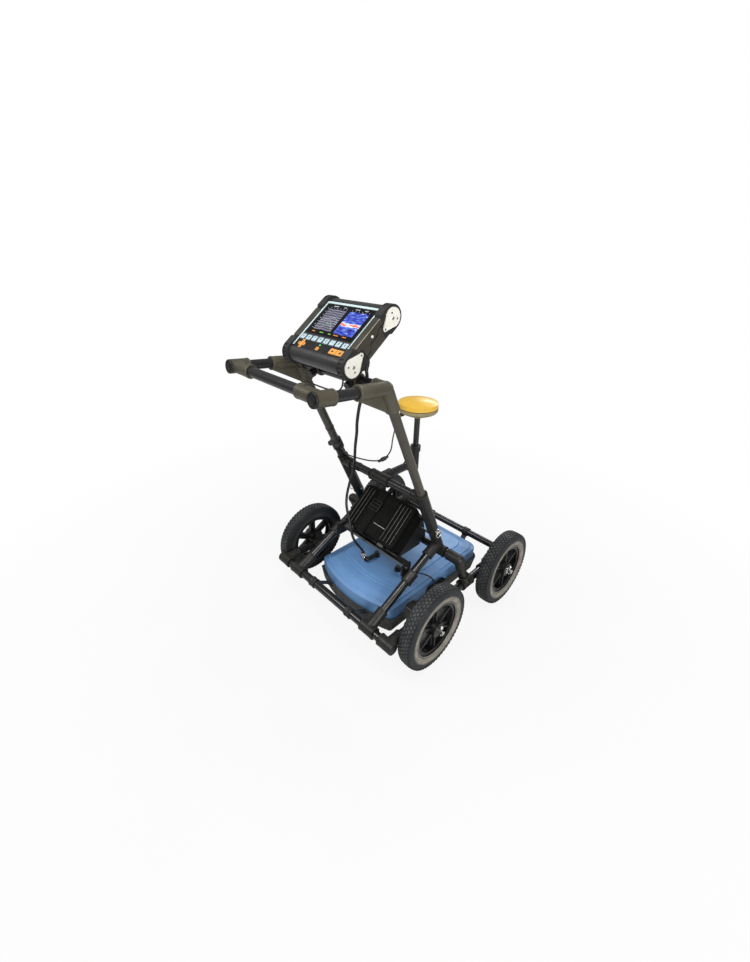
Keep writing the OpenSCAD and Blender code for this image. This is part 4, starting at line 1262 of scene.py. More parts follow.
    def leg_clamp(self) -> None:
        """Clips a split collar with two ears on the left leg, above its sleeve."""
        bm = bmesh.new()
        s = SIZES
        r = s.tube_d / 2
        centre = s.up_left_leg(self.leg_clamp_at)
        collar = [
            (r + 0.2, -64), (r + 1.6, -63), (r + 2.2, -60), (r + 2.2, -24), (r + 5.2, -22),
            (r + 6.4, -20), (r + 6.4, 20), (r + 5.2, 22), (r + 0.2, 23),
        ]
        turn(bm, collar, centre, s.leg_dir, 40)
        place = Matrix.Translation(centre) @ along(s.leg_dir)
        knob = [(9.5, 0), (10.4, 1), (10.4, 11), (9.0, 13), (3.0, 13.6)]
        for side in BOTH:
            lift = 6 * side
            prism(bm, rounded(18, 15, 3.0, (side * (r + 9), 0.0)), place, (lift - 13, lift + 13), 1.8)
            root = centre + lift * s.leg_dir + Vector((side * (r + 10), 0, 0)) - 7 * AHEAD
            stud(bm, knob, root, -AHEAD, 24)
        settle("leg_clamp_collar", bm, BLACK, "cart_frame")

    def brace_clip(self, route: Sequence[Point]) -> None:
        """Clips the data cable to the brace tube.

        Args:
            route: points that the cable passes.
        """
        s = SIZES
        path = smooth(route, 12)
        near = min(range(1, len(path) - 1), key=lambda i: abs(path[i].z - s.brace.z))
        spot = path[near]
        line = (path[near + 1] - path[near - 1]).normalized()
        bm = bmesh.new()
        r = s.tube_d / 2
        grip = self.data_d / 2
        centre = Vector((spot.x, s.brace.y, s.brace.z))
        turn(bm, hug(r, 1.6, 1.9, 6), centre, RIGHT, 40)
        turn(bm, hug(grip, 1.8, 2.1, 6), spot, line, 28)
        gap = (spot + centre) / 2 - Vector((0, r / 2 - grip / 2, 0))
        width = abs(spot.y - centre.y) - r - grip
        prism(bm, rounded(11, width, 1.0, steps=2), Matrix.Translation(gap), (-2.2, 2.2), 0.6)
        settle("brace_cable_clip", bm, BLACK, "cart_frame")


@dataclass
class Wheels:
    """Four wheels: block-tread tyres on spoked rims."""

    seat_r: float = 103.1
    rows: int = 4
    row_pitch: float = 9.6
    blocks: int = 62
    block: Flat = (10.6, 7.2)
    block_lean: float = 20.0
    crown_r: float = 152.4
    crown_fall: float = 0.006
    lug: Flat = (10.8, 3.6)
    lug_x: float = 22.4
    lug_r: float = 148.6
    lug_lean: float = 6.0
    valve_r: float = 98.5
    valve_turn: float = 28.0
    corners: tuple[tuple[str, int, float], ...] = (
        ("rear_left", -1, SIZES.rear_axle_y),
        ("rear_right", 1, SIZES.rear_axle_y),
        ("front_left", -1, SIZES.front_axle_y),
        ("front_right", 1, SIZES.front_axle_y),
    )

    def build(self) -> None:
        """Builds the tyres and dresses the rims."""
        for name, side, y in self.corners:
            centre = Vector((side * SIZES.wheel_x, y, SIZES.axle_z))
            finish = TyreFinish(
                f"{name}_tyre_rubber",
                "tyre_rubber",
                (0.012, 0.013, 0.014),
                0.55,
                specular=0.3,
                pitch=500.0,
                depth=0.00012,
                dust_and_top_light=0.72,
                dust_and_top_light_colour=(0.36, 0.33, 0.27),
                axle=tuple(centre),
                outward=side,
            )
            bm = bmesh.new()
            self.carcass(bm, centre)
            self.tread(bm, centre)
            tyre = settle(f"{name}_tyre_tread", bm, finish, f"{name}_wheel", 30.0)
            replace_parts(tyre, f"{name}_tyre")
            dress([f"{name}_rim"], BLACK)
            self.rim_lip(name, side, centre)
            self.valve(name, side, centre)

    def carcass(self, bm: MeshWork, centre: Vector) -> None:
        """Turns the tyre's body with bead, sidewall rings and shoulders.

        Args:
            bm: mesh that takes it.
            centre: middle of the wheel.
        """
        half = [
            (self.seat_r, 20.5), (self.seat_r + 1.5, 22.5), (107, 24.0), (110, 23.4), (112, 24.2),
            (118, 26.2), (124, 26.9), (130, 26.7), (135, 25.6), (137.5, 25.9), (139.5, 25.2),
            (143, 23.6), (147, 22.4), (148.6, 20.5), (149.4, 12), (149.8, 0),
        ]
        profile = half + [(r, -h) for r, h in reversed(half[:-1])]
        turn(bm, profile, centre, RIGHT, 120)

    def tread(self, bm: MeshWork, centre: Vector) -> None:
        """Sets rows of slanted blocks round the crown and lugs on the shoulders.

        Args:
            bm: mesh that takes them.
            centre: middle of the wheel.
        """
        step = 2 * math.pi / self.blocks
        for row in range(self.rows):
            across = (row - (self.rows - 1) / 2) * self.row_pitch
            top = self.crown_r - self.crown_fall * across * across
            lean = self.block_lean if row % 2 else -self.block_lean
            for k in range(self.blocks):
                a = step * (k + 0.5 * (row % 2))
                self.tread_block(bm, centre, a, across, top, lean, self.block)
        for side in BOTH:
            for k in range(self.blocks):
                a = step * (k + 0.25)
                self.tread_block(bm, centre, a, side * self.lug_x, self.lug_r, side * self.lug_lean, self.lug)

    @staticmethod
    def tread_block(
        bm: MeshWork, centre: Vector, a: float, across: float, top: float, lean: float, size: Flat
    ) -> None:
        """Sets one tapered block.

        Args:
            bm: mesh that takes it.
            centre: middle of the wheel.
            a: angle round the wheel.
            across: place across the tread.
            top: radius of its top.
            lean: slant in degrees.
            size: length round the wheel and width across it.
        """
        out = Vector((0, math.cos(a), math.sin(a)))
        round_way = Vector((0, -math.sin(a), math.cos(a)))
        place = Matrix((RIGHT, round_way, out)).transposed().to_4x4()
        place = Matrix.Translation(centre) @ place @ Matrix.Rotation(math.radians(lean), 4, "Z")
        shift = Matrix.Rotation(-math.radians(lean), 4, "Z") @ Vector((across, 0, 0))
        rings = []
        for h, grow in ((top - 5.5, 1.0), (top - 0.7, 0.35), (top, -0.4)):
            wide = size[1] / 2 + grow * 0.6
            long = size[0] / 2 + grow * 0.6
            corners = ((-wide, -long), (wide, -long), (wide, long), (-wide, long))
            rings.append([place @ Vector((shift.x + x, shift.y + y, h)) for x, y in corners])
        loft(bm, rings)

    def rim_lip(self, name: str, side: int, centre: Vector) -> None:
        """Beads the rim's outer edge, painted pale as a highlight.

        Args:
            name: which wheel.
            side: 1 on the right, -1 on the left.
            centre: middle of the wheel.
        """
        bm = bmesh.new()
        r = self.seat_r
        bead = [
            (r - 3.2, 20.2), (r - 3.4, 22.2), (r - 2.6, 23.4), (r - 1.4, 23.8),
            (r - 0.2, 23.2), (r + 0.2, 21.8), (r, 20.2),
        ]
        turn(bm, bead, centre, side * RIGHT, 96)
        settle(f"{name}_rim_lip", bm, RIM_HIGHLIGHT, f"{name}_wheel")

    def valve(self, name: str, side: int, centre: Vector) -> None:
        """Sets a tyre valve between two spokes of the rim.

        Args:
            name: which wheel.
            side: 1 on the right, -1 on the left.
            centre: middle of the wheel.
        """
        bm = bmesh.new()
        a = math.radians(self.valve_turn)
        foot = centre + self.valve_r * Vector((0, math.cos(a), math.sin(a)))
        inward = (centre - foot).normalized()
        profile = [(4.2, -1), (4.2, 4), (2.8, 6), (2.8, 17), (3.4, 17.5), (3.4, 25), (2.4, 26)]
        stud(bm, profile, foot, (inward + 0.5 * side * RIGHT).normalized(), 20)
        settle(f"{name}_tyre_valve", bm, BLACK, f"{name}_wheel")


@dataclass
class TubeFrame:
    """Tubes and moulded fittings of the cart, with the lips of their mouths."""

    lip: float = 0.9
    lip_w: float = 5.0
    handle_from: float = 850.0
    collar_y: float = 272.0
    corner_reach: Flat = (34.0, 58.0)
    tee_reach: float = 30.0
    foot_reach: float = 28.0
    upper_rail_reach: Flat = (76.0, 64.0)
    brace_reach: float = 45.0
    elbow_reach: Point = (74.0, 104.0, 42.0)
    handle_reach: Flat = (36.0, 84.0)
    post_reach: float = 48.0
    axle_reach: float = 32.0
    rest_collar_y: float = -84.0
    rest_collar_reach: float = 22.0
    clamp_x: float = 85.0
    clamp_reach: float = 13.0
    mast_tee_reach: Flat = (44.0, 52.0)
    socket_reach: float = 44.0
    odometer_face: float = 233.0
    odometer_hub: float = 225.0
    odometer_screw: float = 21.0

    def build(self) -> None:
        """Dresses the frame and rings each fitting's mouth."""
        dress(("cross_tubes", "rails"), TUBE)
        dress(("handle_tubes",), SATIN_TUBE)
        dress(("leg_tubes",), OLIVE_TUBE)
        dress(("handle_elbows", "handle_tees"), OLIVE_FITTING)
        dress(
            ("corner_elbows", "rear_tees", "leg_feet", "side_posts", "rail_tees", "leg_sleeves", "gps_arm",
             "console_clamps"),
            FITTING,
        )
        dress(("caps_and_knobs", "odometer_housing", "case_cradle", "antenna_plugs"), BLACK)
        dress(("axles", "odometer_axle", "left_lock_pin", "right_lock_pin"), STEEL)
        dress(("steel_fittings",), SHELF_STEEL)
        self.lips()
        self.cap_rings()
        self.screws()
        self.rail_collars()
        self.odometer_trim()

    def mouths(self) -> list[tuple[Vector, Vector, float]]:
        """Lists the open ends of the right and middle fittings.

        Returns:
            Centre, outward direction and radius of each.
        """
        s = SIZES
        run, branch = s.fit_d / 2, s.branch_d / 2
        foot, inner = Vector(s.foot), -RIGHT
        corner_in, corner_along = self.corner_reach
        rail_low, rail_high = self.upper_rail_reach
        elbow_down, elbow_back, elbow_in = self.elbow_reach
        handle_ahead, handle_in = self.handle_reach
        tee_across, tee_ahead = self.mast_tee_reach
        found = []
        for y, way in ((s.rear_y, AHEAD), (s.front_y, -AHEAD)):
            corner = Vector((s.rail_x, y, s.axle_z))
            found += [(corner + corner_in * inner, inner, run), (corner + corner_along * way, way, branch)]
        for way in (RIGHT, inner):
            found.append((s.rear_joint + self.tee_reach * way, way, run))
            found.append((foot + self.foot_reach * way, way, run))
        found += [
            (s.rear_joint + rail_low * s.rail_dir, s.rail_dir, branch),
            (s.rail_top - rail_high * s.rail_dir, -s.rail_dir, branch + 0.5),
            (foot + s.neck_len * s.leg_dir, -s.leg_dir, run),
            (foot + (s.neck_len + s.sleeve_len) * s.leg_dir, s.leg_dir, run),
            (s.brace + self.brace_reach * inner, inner, branch),
            (s.elbow - elbow_down * s.leg_dir, -s.leg_dir, run),
            (s.elbow + elbow_back * s.arm_dir, s.arm_dir, run),
            (s.elbow + elbow_in * inner, inner, branch),
            (s.handle - handle_ahead * s.arm_dir, -s.arm_dir, run),
            (s.handle + handle_in * inner, inner, branch),
            (s.post_top + self.post_reach * inner, inner, run),
            (s.post_top - self.post_reach * s.leg_dir, -s.leg_dir, branch),
            (s.post_foot + self.post_reach * s.leg_dir, s.leg_dir, branch),
        ]
        for y in (s.rear_axle_y, s.front_axle_y):
            for way in (AHEAD, -AHEAD):
                found.append((Vector((s.rail_x, y, s.axle_z)) + self.axle_reach * way, way, run))
        for way in (AHEAD, -AHEAD):
            found.append((s.post_foot + self.tee_reach * way, way, run))
        collar = s.rear_joint + (self.rest_collar_y - s.rear_y) / s.rail_dir.y * s.rail_dir
        for way in (s.rail_dir, -s.rail_dir):
            found.append((collar + self.rest_collar_reach * way, way, run))
        clamp = Vector((self.clamp_x, s.elbow.y, s.elbow.z))
        for way in (RIGHT, inner):
            found.append((clamp + self.clamp_reach * way, way, run))
            found.append((Vector((0, s.brace.y, s.brace.z)) + tee_across * way, way, run))
        found.append((Vector((0, s.brace.y + tee_ahead, s.brace.z)), AHEAD, branch))
        found.append((Vector((0, s.mast_y - self.socket_reach, s.brace.z)), -AHEAD, branch - 1))
        return found

    def lips(self) -> None:
        """Rings the mouths with rounded beads."""
        bm, high = bmesh.new(), bmesh.new()
        hole = SIZES.tube_d / 2 + 0.15
        for centre, way, r in self.mouths():
            w = self.lip_w
            rim = r + self.lip
            profile = [
                (hole, -w), (hole, 0.2), (hole + 0.6, 0.7), (r - 1.2, 0.8), (rim - 0.5, 0.3),
                (rim, -0.7), (rim, 1.2 - w), (rim - 0.4, 0.4 - w), (r - 0.4, -w),
            ]
            for at, axis in sides_of(centre, way):
                turn(high if at.z > self.handle_from else bm, profile, at, axis, 48)
        settle("fitting_lips", bm, FITTING, "cart_frame")
        settle("handle_lips", high, OLIVE_FITTING, "cart_frame")

    def cap_rings(self) -> None:
        """Sets a bright rim round each end cap."""
        bm = bmesh.new()
        s = SIZES
        ends = [(s.handle + 21 * s.arm_dir, s.arm_dir)]
        ends += [(Vector((s.rail_x + 21, y, s.axle_z)), RIGHT) for y in (s.rear_y, s.front_y)]
        profile = [(17.4, 0.5), (17.4, 3.6), (18.1, 4.8), (19.4, 5.0), (20.4, 4.2), (20.8, 2.8), (20.8, 0.2)]
        for centre, way in ends:
            for at, axis in sides_of(centre, way):
                turn(bm, profile, at, axis, 48)
        settle("cap_rims", bm, FITTING, "cart_frame")

    def screws(self) -> None:
        """Sets the round-head screws that pin tubes into fittings."""
        s = SIZES
        bm = bmesh.new()
        head = [(3.6, -1.0), (3.6, 0.6), (3.0, 1.6), (1.6, 2.1), (0.9, 1.3)]
        spots = [
            (s.handle + 60 * -RIGHT, UP), (s.elbow + 84 * s.arm_dir, UP), (s.elbow - 58 * s.leg_dir, -AHEAD),
            (s.rear_joint + 60 * s.rail_dir, UP), (Vector((s.rail_x, s.rear_y + 44, s.axle_z)), UP),
            (Vector((s.rail_x, s.front_y - 44, s.axle_z)), UP), (s.post_top - 34 * RIGHT, UP),
            (s.brace - 36 * RIGHT, UP), (s.post_foot + 36 * s.leg_dir, AHEAD),
        ]
        for centre, way in spots:
            for at, axis in sides_of(centre, way):
                stud(bm, head, at + (s.branch_d / 2 - 0.2) * axis, axis, 16)
        settle("fitting_screws", bm, BLACK, "cart_frame")

    def rail_collars(self) -> None:
        """Clamps a collar with a hand knob on each side rail, behind the front axle."""
        bm = bmesh.new()
        s = SIZES
        r = s.fit_d / 2
        tube = s.tube_d / 2 + 0.2
        sleeve = [(tube, -24), (r - 1.2, -24), (r, -22.6), (r, 22.6), (r - 1.2, 24), (tube, 24)]
        knob = [(4.0, -1), (4.0, 6), (10.5, 7), (11.4, 8.5), (11.4, 17), (9.6, 19), (3.0, 19.6)]
        for side in BOTH:
            centre = Vector((side * s.rail_x, self.collar_y, s.axle_z))
            turn(bm, sleeve, centre, AHEAD, 48)
            stud(bm, knob, centre + (r - 0.6) * UP, UP, 28)
        settle("front_rail_collars", bm, FITTING, "cart_frame")

    def odometer_trim(self) -> None:
        """Puts four cover screws and a hub cap on the odometer housing."""
        bm = bmesh.new()
        s = SIZES
        head = [(2.6, -0.4), (2.6, 1.2), (1.9, 1.8), (0.7, 1.2)]
        cap = [(5, -0.4), (5, 1.4), (4.2, 2.0), (1.4, 1.6)]
        off = self.odometer_screw
        for dy in BOTH:
            for dz in BOTH:
                spot = Vector((self.odometer_face, s.rear_axle_y + off * dy, s.axle_z + off * dz))
                stud(bm, head, spot, -RIGHT, 14)
        stud(bm, cap, Vector((self.odometer_hub, s.rear_axle_y, s.axle_z)), -RIGHT, 20)
        settle("odometer_screws", bm, STEEL, "cart_frame")


@dataclass
class Console:
    """Display console: panel strips, screen layout, keys, side rails and plates."""

    middle: Point = (0.0, -246.961, 1118.042)
    tilt: float = 38.8
    half_w: float = 114.0
    end_x: float = 138.0
    low: float = -92.0
    high: float = 96.0
    roll: float = 28.0
    softkey_y: float = -51.0
    softkey_pitch: float = 26.6
    lower_y: float = -77.0
    arrow_x: float = -76.0
    function_x: Flat = (66.0, 94.0)
    plate_reach: float = 42.0
    plate_turn: float = 6.0
    side_strip: Flat = (5.6, 178.0)
    side_strip_at: Flat = (110.0, 3.5)
    top_strip: Flat = (214.0, 7.5)
    top_strip_y: float = 89.2
    window: Flat = (19.6, 15.6)
    lamp_y: float = -67.5
    place: Matrix = field(init=False)

    def __post_init__(self) -> None:
        """Sets the matrix of the console's face."""
        self.place = tilted(self.middle, self.tilt)

    def build(self) -> None:
        """Dresses the console and adds its trim."""
        dress(("console_body",), ROLL)
        dress(("console_end_caps",), RUBBER)
        dress(("console_side_plates",), CREAM)
        dress(("console_bezel",), PANEL)
        dress(("display_screen",), GLASS)
        dress([f"softkey_{i}" for i in range(1, 9)], KEY_RIM)
        dress(("arrow_pad", "power_key", "left_function_key", "right_function_key"), ORANGE)
        self.strips()
        self.screen()
        self.key_marks()
        self.lamp()
        self.side_rails()
        self.plate_screws()

    def strips(self) -> None:
        """Frames the panel with a pale strip on three sides."""
        bm = bmesh.new()
        x, y = self.side_strip_at
        for side in BOTH:
            outline = rounded(*self.side_strip, 1.2, (side * x, y))
            prism(bm, outline, self.place, (-0.2, 0.45), 0.2)
        prism(bm, rounded(*self.top_strip, 1.2, (0.0, self.top_strip_y)), self.place, (-0.2, 0.42), 0.2)
        settle("panel_strips", bm, PALE, "console")

    def screen(self) -> None:
        """Lays out a generic depth scan beside a coloured slice."""
        self.view("scan_view", SCAN, (-84.0, -16.0), (-5.0, 66.0))
        self.view("slice_view", SLICE, (10.0, -19.0), (90.0, 66.0))
        ticks, warm, leaf = bmesh.new(), bmesh.new(), bmesh.new()
        for i in range(7):
            self.mark(ticks, (-89.5, -12 + 13 * i), (6.0 if i % 2 else 3.6, 1.4))
        for i in range(6):
            self.mark(ticks, (-78 + 14 * i, 70.5), (1.4, 3.2))
            self.mark(ticks, (16 + 14 * i, 70.5), (1.4, 3.2))
        for x, w in ((-60, 22), (-20, 12), (34, 18), (70, 14)):
            self.mark(ticks, (x, 76.5), (w, 2.6))
        for x, w in ((-72, 14), (28, 20), (64, 16)):
            self.mark(warm, (x, -24.5), (w, 3.6))
        for x, y, w in ((-46, 14, 9), (-34, 5, 12), (-52, 2, 7)):
            self.mark(leaf, (x, y), (w, 1.8))
        for x, w in ((-36, 16), (0, 12)):
            self.mark(leaf, (x, -24.5), (w, 3.2))
        settle("readout_ticks", ticks, READOUT, "console")
        settle("readout_bars", warm, WARM_MARK, "console")
        settle("readout_picks", leaf, LEAF_MARK, "console")

    def view(self, name: str, finish: Finish, low: Flat, high: Flat) -> None:
        """Sets one picture panel on the screen.

        Args:
            name: name of the piece.
            finish: picture it shows.
            low: lower left corner.
            high: upper right corner.
        """
        size = (high[0] - low[0], high[1] - low[1])
        centre = ((low[0] + high[0]) / 2, (low[1] + high[1]) / 2)
        bm = bmesh.new()
        prism(bm, rounded(*size, 1.0, centre), self.place, (-0.1, 0.12), 0.05)
        panel = settle(name, bm, finish, "console")
        flatten_uv(panel, self.place, low, high)

    def mark(self, bm: MeshWork, centre: Flat, size: Flat) -> None:
        """Adds a small raised bar to the readout."""
        prism(bm, rounded(*size, min(size) * 0.3, centre, 2), self.place, (-0.1, 0.2))

    def key_marks(self) -> None:
        """Prints a plain mark on every key."""
        for i in range(1, 9):
            x = (i - 4.5) * self.softkey_pitch
            bm = bmesh.new()
            prism(bm, rounded(*self.window, 2.0, (x, self.softkey_y)), self.place, (1.2, 1.75), 0.15)
            settle(f"softkey_{i}_window", bm, KEY_FACE, f"softkey_{i}_button")
            bm = bmesh.new()
            for k in range(1 + i % 3):
                bar = (8.0 - 2 * k, 1.5)
                prism(bm, rounded(*bar, 0.5, (x, self.softkey_y + 3 - 3.2 * k), 2), self.place, (1.4, 1.85))
            settle(f"softkey_{i}_mark", bm, PANEL, f"softkey_{i}_button")
        self.arrow_caps()
        for name, x in zip(("left", "right"), self.function_x):
            bm = bmesh.new()
            turned = 1 if name == "left" else -1
            tail, tip = x - 5 * turned, x + 4 * turned
            outline = [(tail, self.lower_y - 4), (tip, self.lower_y), (tail, self.lower_y + 4)]
            prism(bm, outline, self.place, (1.3, 1.8), 0.1)
            settle(f"{name}_function_mark", bm, PANEL, f"{name}_function_key_button")
        bm = bmesh.new()
        prism(bm, rounded(2.0, 5.0, 0.8, (0.0, self.lower_y - 4), 3), self.place, (1.3, 1.8), 0.1)
        settle("power_mark", bm, PANEL, "power_key_button")

    def arrow_caps(self) -> None:
        """Caps the four-way pad with rounded keys and arrow marks."""
        caps, marks = bmesh.new(), bmesh.new()
        centre = self.place @ Matrix.Translation((self.arrow_x, self.lower_y, 0))
        for k in range(4):
            spin = centre @ Matrix.Rotation(k * math.pi / 2, 4, "Z")
            prism(caps, rounded(9.4, 11.5, 3.2, (0.0, 9.2)), spin, (0.9, 2.3), 0.6)
            prism(marks, [(-2.4, 8.4), (2.4, 8.4), (0.0, 12.0)], spin, (2.0, 2.42))
        prism(caps, rounded(7.4, 7.4, 2.0, (self.arrow_x, self.lower_y)), self.place, (0.9, 1.9), 0.5)
        settle("arrow_caps", caps, ORANGE, "arrow_pad_button")
        settle("arrow_marks", marks, PANEL, "arrow_pad_button")

    def lamp(self) -> None:
        """Sets the green lamp above the power key."""
        bm = bmesh.new()
        spot = self.place @ Vector((0.0, self.lamp_y, 0.0))
        normal = (self.place.to_3x3() @ UP).normalized()
        stud(bm, [(2.6, -0.3), (2.6, 0.5), (2.2, 1.1), (1.3, 1.5), (0.4, 1.65)], spot, normal, 20)
        settle("status_lamp", bm, LENS, "console")

    def side_rails(self) -> None:
        """Covers the sides between the corner guards with two panels and a stepped seam, and paints a
        highlight strip on the right rail's edge.
        """
        bm, dark, edge = bmesh.new(), bmesh.new(), bmesh.new()
        upper = [
            (-54, 0.6), (58, 0.6), (58, -12.6), (34.2, -14.2), (22.2, -24.2),
            (-8.2, -24.2), (-19.6, -39.4), (-36, -41.6), (-36, -14), (-54, -12),
        ]
        lower = [
            (-36, -45.4), (-21, -43.6), (-9.4, -28), (23.6, -28), (35.4, -18),
            (44, -17.4), (44, -27), (40, -56.6), (-36, -56.6),
        ]
        skin = (self.end_x - 2, self.end_x + 1.1)
        width = self.end_x - self.half_w + 1.6
        for side in BOTH:
            for outline in (upper, lower):
                side_prism(bm, outline, self.place, side, skin, 0.5)
            middle = side * (self.end_x + self.half_w) / 2 + side * 0.6
            prism(bm, rounded(width, 112, 1.5, (middle, 2.0)), self.place, (-0.4, 2.4), 0.8)
            spot = self.place @ Vector((side * (self.end_x + 0.6), 8.0, -14.0))
            stud(dark, [(4.2, -1), (4.2, 1.4), (3.4, 2.2), (1.6, 2.6)], spot, side * RIGHT, 20)
        # Painted highlight: a pale strip along the outer edge of the right rail only, the side the lamps
        # light.
        prism(edge, rounded(2.4, 110, 1.0, (self.end_x - 0.2, 2.0)), self.place, (1.2, 2.7), 0.7)
        settle("console_side_rails", bm, OLIVE, "console")
        settle("console_side_studs", dark, CREAM, "console")
        settle("console_rail_highlight", edge, RAIL_HIGHLIGHT, "console")

    def plate_screws(self) -> None:
        """Screws down the cream plates."""
        small, large = bmesh.new(), bmesh.new()
        screw = [(2.7, -0.5), (2.7, 1.0), (2.0, 1.6), (0.9, 1.2)]
        bolt = [(5.3, -0.5), (5.3, 1.0), (4.2, 2.0), (1.8, 1.5)]
        for side in BOTH:
            for y, turned in ((self.low, 0.0), (self.high, 180.0)):
                spin = Matrix.Rotation(math.radians(turned + self.plate_turn), 4, "X")
                base = self.place @ Matrix.Translation((side * (self.end_x + 3), y, -self.roll)) @ spin
                for dy, dz in ((-4, -13), (-8, 14), (self.plate_reach, 0)):
                    stud(small, screw, base @ Vector((0, dy, dz)), side * RIGHT, 14)
                stud(large, bolt, base @ Vector((0, 3, 0)), side * RIGHT, 20)
        settle("plate_screws", small, BLACK, "console")
        settle("plate_bolts", large, STEEL, "console")


@dataclass
class Receiver:
    """Positioning receiver on its mast."""

    radius: float = 75.0
    base_h: float = 34.0

    def build(self) -> None:
        """Dresses the receiver, and adds its gasket and connector nut."""
        dress(("gps_mast",), TUBE)
        dress(("gps_base",), BEIGE)
        dress(("gps_dome",), DOME)
        s = SIZES
        bm = bmesh.new()
        seam = Vector((0, s.mast_y, s.gps_z + self.base_h))
        r = self.radius
        band = [(r - 3, -1.2), (r + 0.25, -1.2), (r + 0.5, 0.0), (r + 0.25, 1.2), (r - 3, 1.2)]
        turn(bm, band, seam, UP, 96)
        settle("receiver_gasket", bm, RUBBER, "receiver")
        bm = bmesh.new()
        way = Vector((-0.5, -0.2, -1)).normalized()
        root = Vector((-r + 24, s.mast_y - 10, s.gps_z + 14))
        nut = [
            (7.6, 22), (9.4, 22.4), (9.8, 24), (9.8, 30), (9.4, 31.6),
            (6.4, 32.4), (4.2, 37), (3.2, 37.2), (3.2, 22),
        ]
        turn(bm, nut, root, way, 32)
        settle("receiver_connector", bm, BLACK, "receiver")


@dataclass
class BatteryCase:
    """Ribbed battery case with latches, webbing strap and ladder buckle."""

    low: Point = (0.0, -62.0, 289.0)
    tilt: float = 41.0
    length: float = 176.0
    width: float = 250.0
    depth: float = 74.0
    rib_w: float = 8.0
    rib_pitch: float = 16.0
    rib_edge: float = 17.0
    strap_x: float = -34.0
    strap_w: float = 38.0
    strap_t: float = 2.0
    strap_bend: float = 6.0
    buckle_y: float = 112.0
    place: Matrix = field(init=False)

    def __post_init__(self) -> None:
        """Sets the matrix of the sloped case."""
        self.place = tilted(self.low, self.tilt)

    def build(self) -> None:
        """Dresses the case and adds its strap and trim."""
        dress(("case_base", "case_lid"), CASE)
        dress(("case_latches",), BLACK)
        dress(("battery_block",), BATTERY)
        soften(("case_base", "case_lid", "case_latches"), 0.8)
        self.strap()
        self.buckle()
        self.panel_edge()
        self.rib_highlights()

    def strap_line(self) -> list[Flat]:
        """Centreline of the strap in the case's side view.

        Returns:
            Points of (up the slope, off the plate).
        """
        out = self.depth + 1.3
        high = self.length + 5.3
        corners = [(-5.3, 10.0), (-5.3, out), (high, out), (high, -4.3), (128.0, -4.3)]
        line = [corners[0]]
        for a, b, c in zip(corners, corners[1:], corners[2:]):
            start, mid, end = Vector(a), Vector(b), Vector(c)
            p = mid + (start - mid).normalized() * self.strap_bend
            q = mid + (end - mid).normalized() * self.strap_bend
            for k in range(7):
                t = k / 6
                line.append(tuple((1 - t) ** 2 * p + 2 * t * (1 - t) * mid + t * t * q))
        return line + [corners[-1]]

    def strap(self) -> None:
        """Lays the webbing over the lid, thinner along its edges."""
        line = self.strap_line()
        bm = bmesh.new()
        half, t = self.strap_w / 2, self.strap_t / 2
        section = [(-half, -0.5 * t), (-half + 0.8, -t), (half - 0.8, -t), (half, -0.5 * t)]
        section += [(half, 0.5 * t), (half - 0.8, t), (-half + 0.8, t), (-half, 0.5 * t)]
        rings = []
        for i, point in enumerate(line):
            before, after = Vector(line[max(i - 1, 0)]), Vector(line[min(i + 1, len(line) - 1)])
            way = (after - before).normalized()
            out = Vector((-way.y, way.x))
            ring = []
            for x, h in section:
                spot = Vector(point) + h * out
                ring.append(self.place @ Vector((self.strap_x + x, spot.x, spot.y)))
            rings.append(ring)
        loft(bm, rings)
        strap = settle("case_webbing", bm, WEBBING, "cart_frame", 50.0)
        flatten_uv(strap, self.place, (0.0, 0.0), (1.0, 1.0))
        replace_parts(strap, "case_strap")

    def buckle(self) -> None:
        """Threads a ladder buckle on the strap."""
        bm = bmesh.new()
        top = self.depth + 2.6
        x, y = self.strap_x, self.buckle_y
        for side in BOTH:
            prism(bm, rounded(5, 46, 2.0, (x + side * 21.5, y)), self.place, (top - 1.5, top + 4.5), 1.0)
        for k in range(4):
            rung = rounded(44, 5.2, 1.5, (x, y - 20 + 13.3 * k))
            prism(bm, rung, self.place, (top - 0.8, top + 3.6), 1.0)
        settle("strap_buckle", bm, BUCKLE, "cart_frame")

    def panel_edge(self) -> None:
        """Edges the lid's plain panel with its moulded lip, painted pale as a highlight."""
        bm = bmesh.new()
        top = self.depth - 0.6
        prism(bm, rounded(60, 2.0, 0.9, (29.0, 52.0)), self.place, (top - 3, top + 0.6), 0.4)
        settle("case_panel_lip", bm, CASE_LIP_HIGHLIGHT, "cart_frame")

    def rib_highlights(self) -> None:
        """Runs a painted highlight strip along the outer side of each rib of the lid."""
        bm = bmesh.new()
        half, ribs = self.width / 2, self.rib_pitch
        left = [self.rib_edge - half + i * ribs for i in range(3)]
        right = [half - self.rib_edge - i * ribs for i in range(4)]
        for x in left + right:
            spot = (x + math.copysign(self.rib_w / 2 - 1.2, x), self.length / 2)
            edge = rounded(1.9, self.length - 24, 0.8, spot, 3)
            prism(bm, edge, self.place, (self.depth - 1, self.depth + 0.15))
        settle("case_rib_highlights", bm, RIB_HIGHLIGHT, "cart_frame")


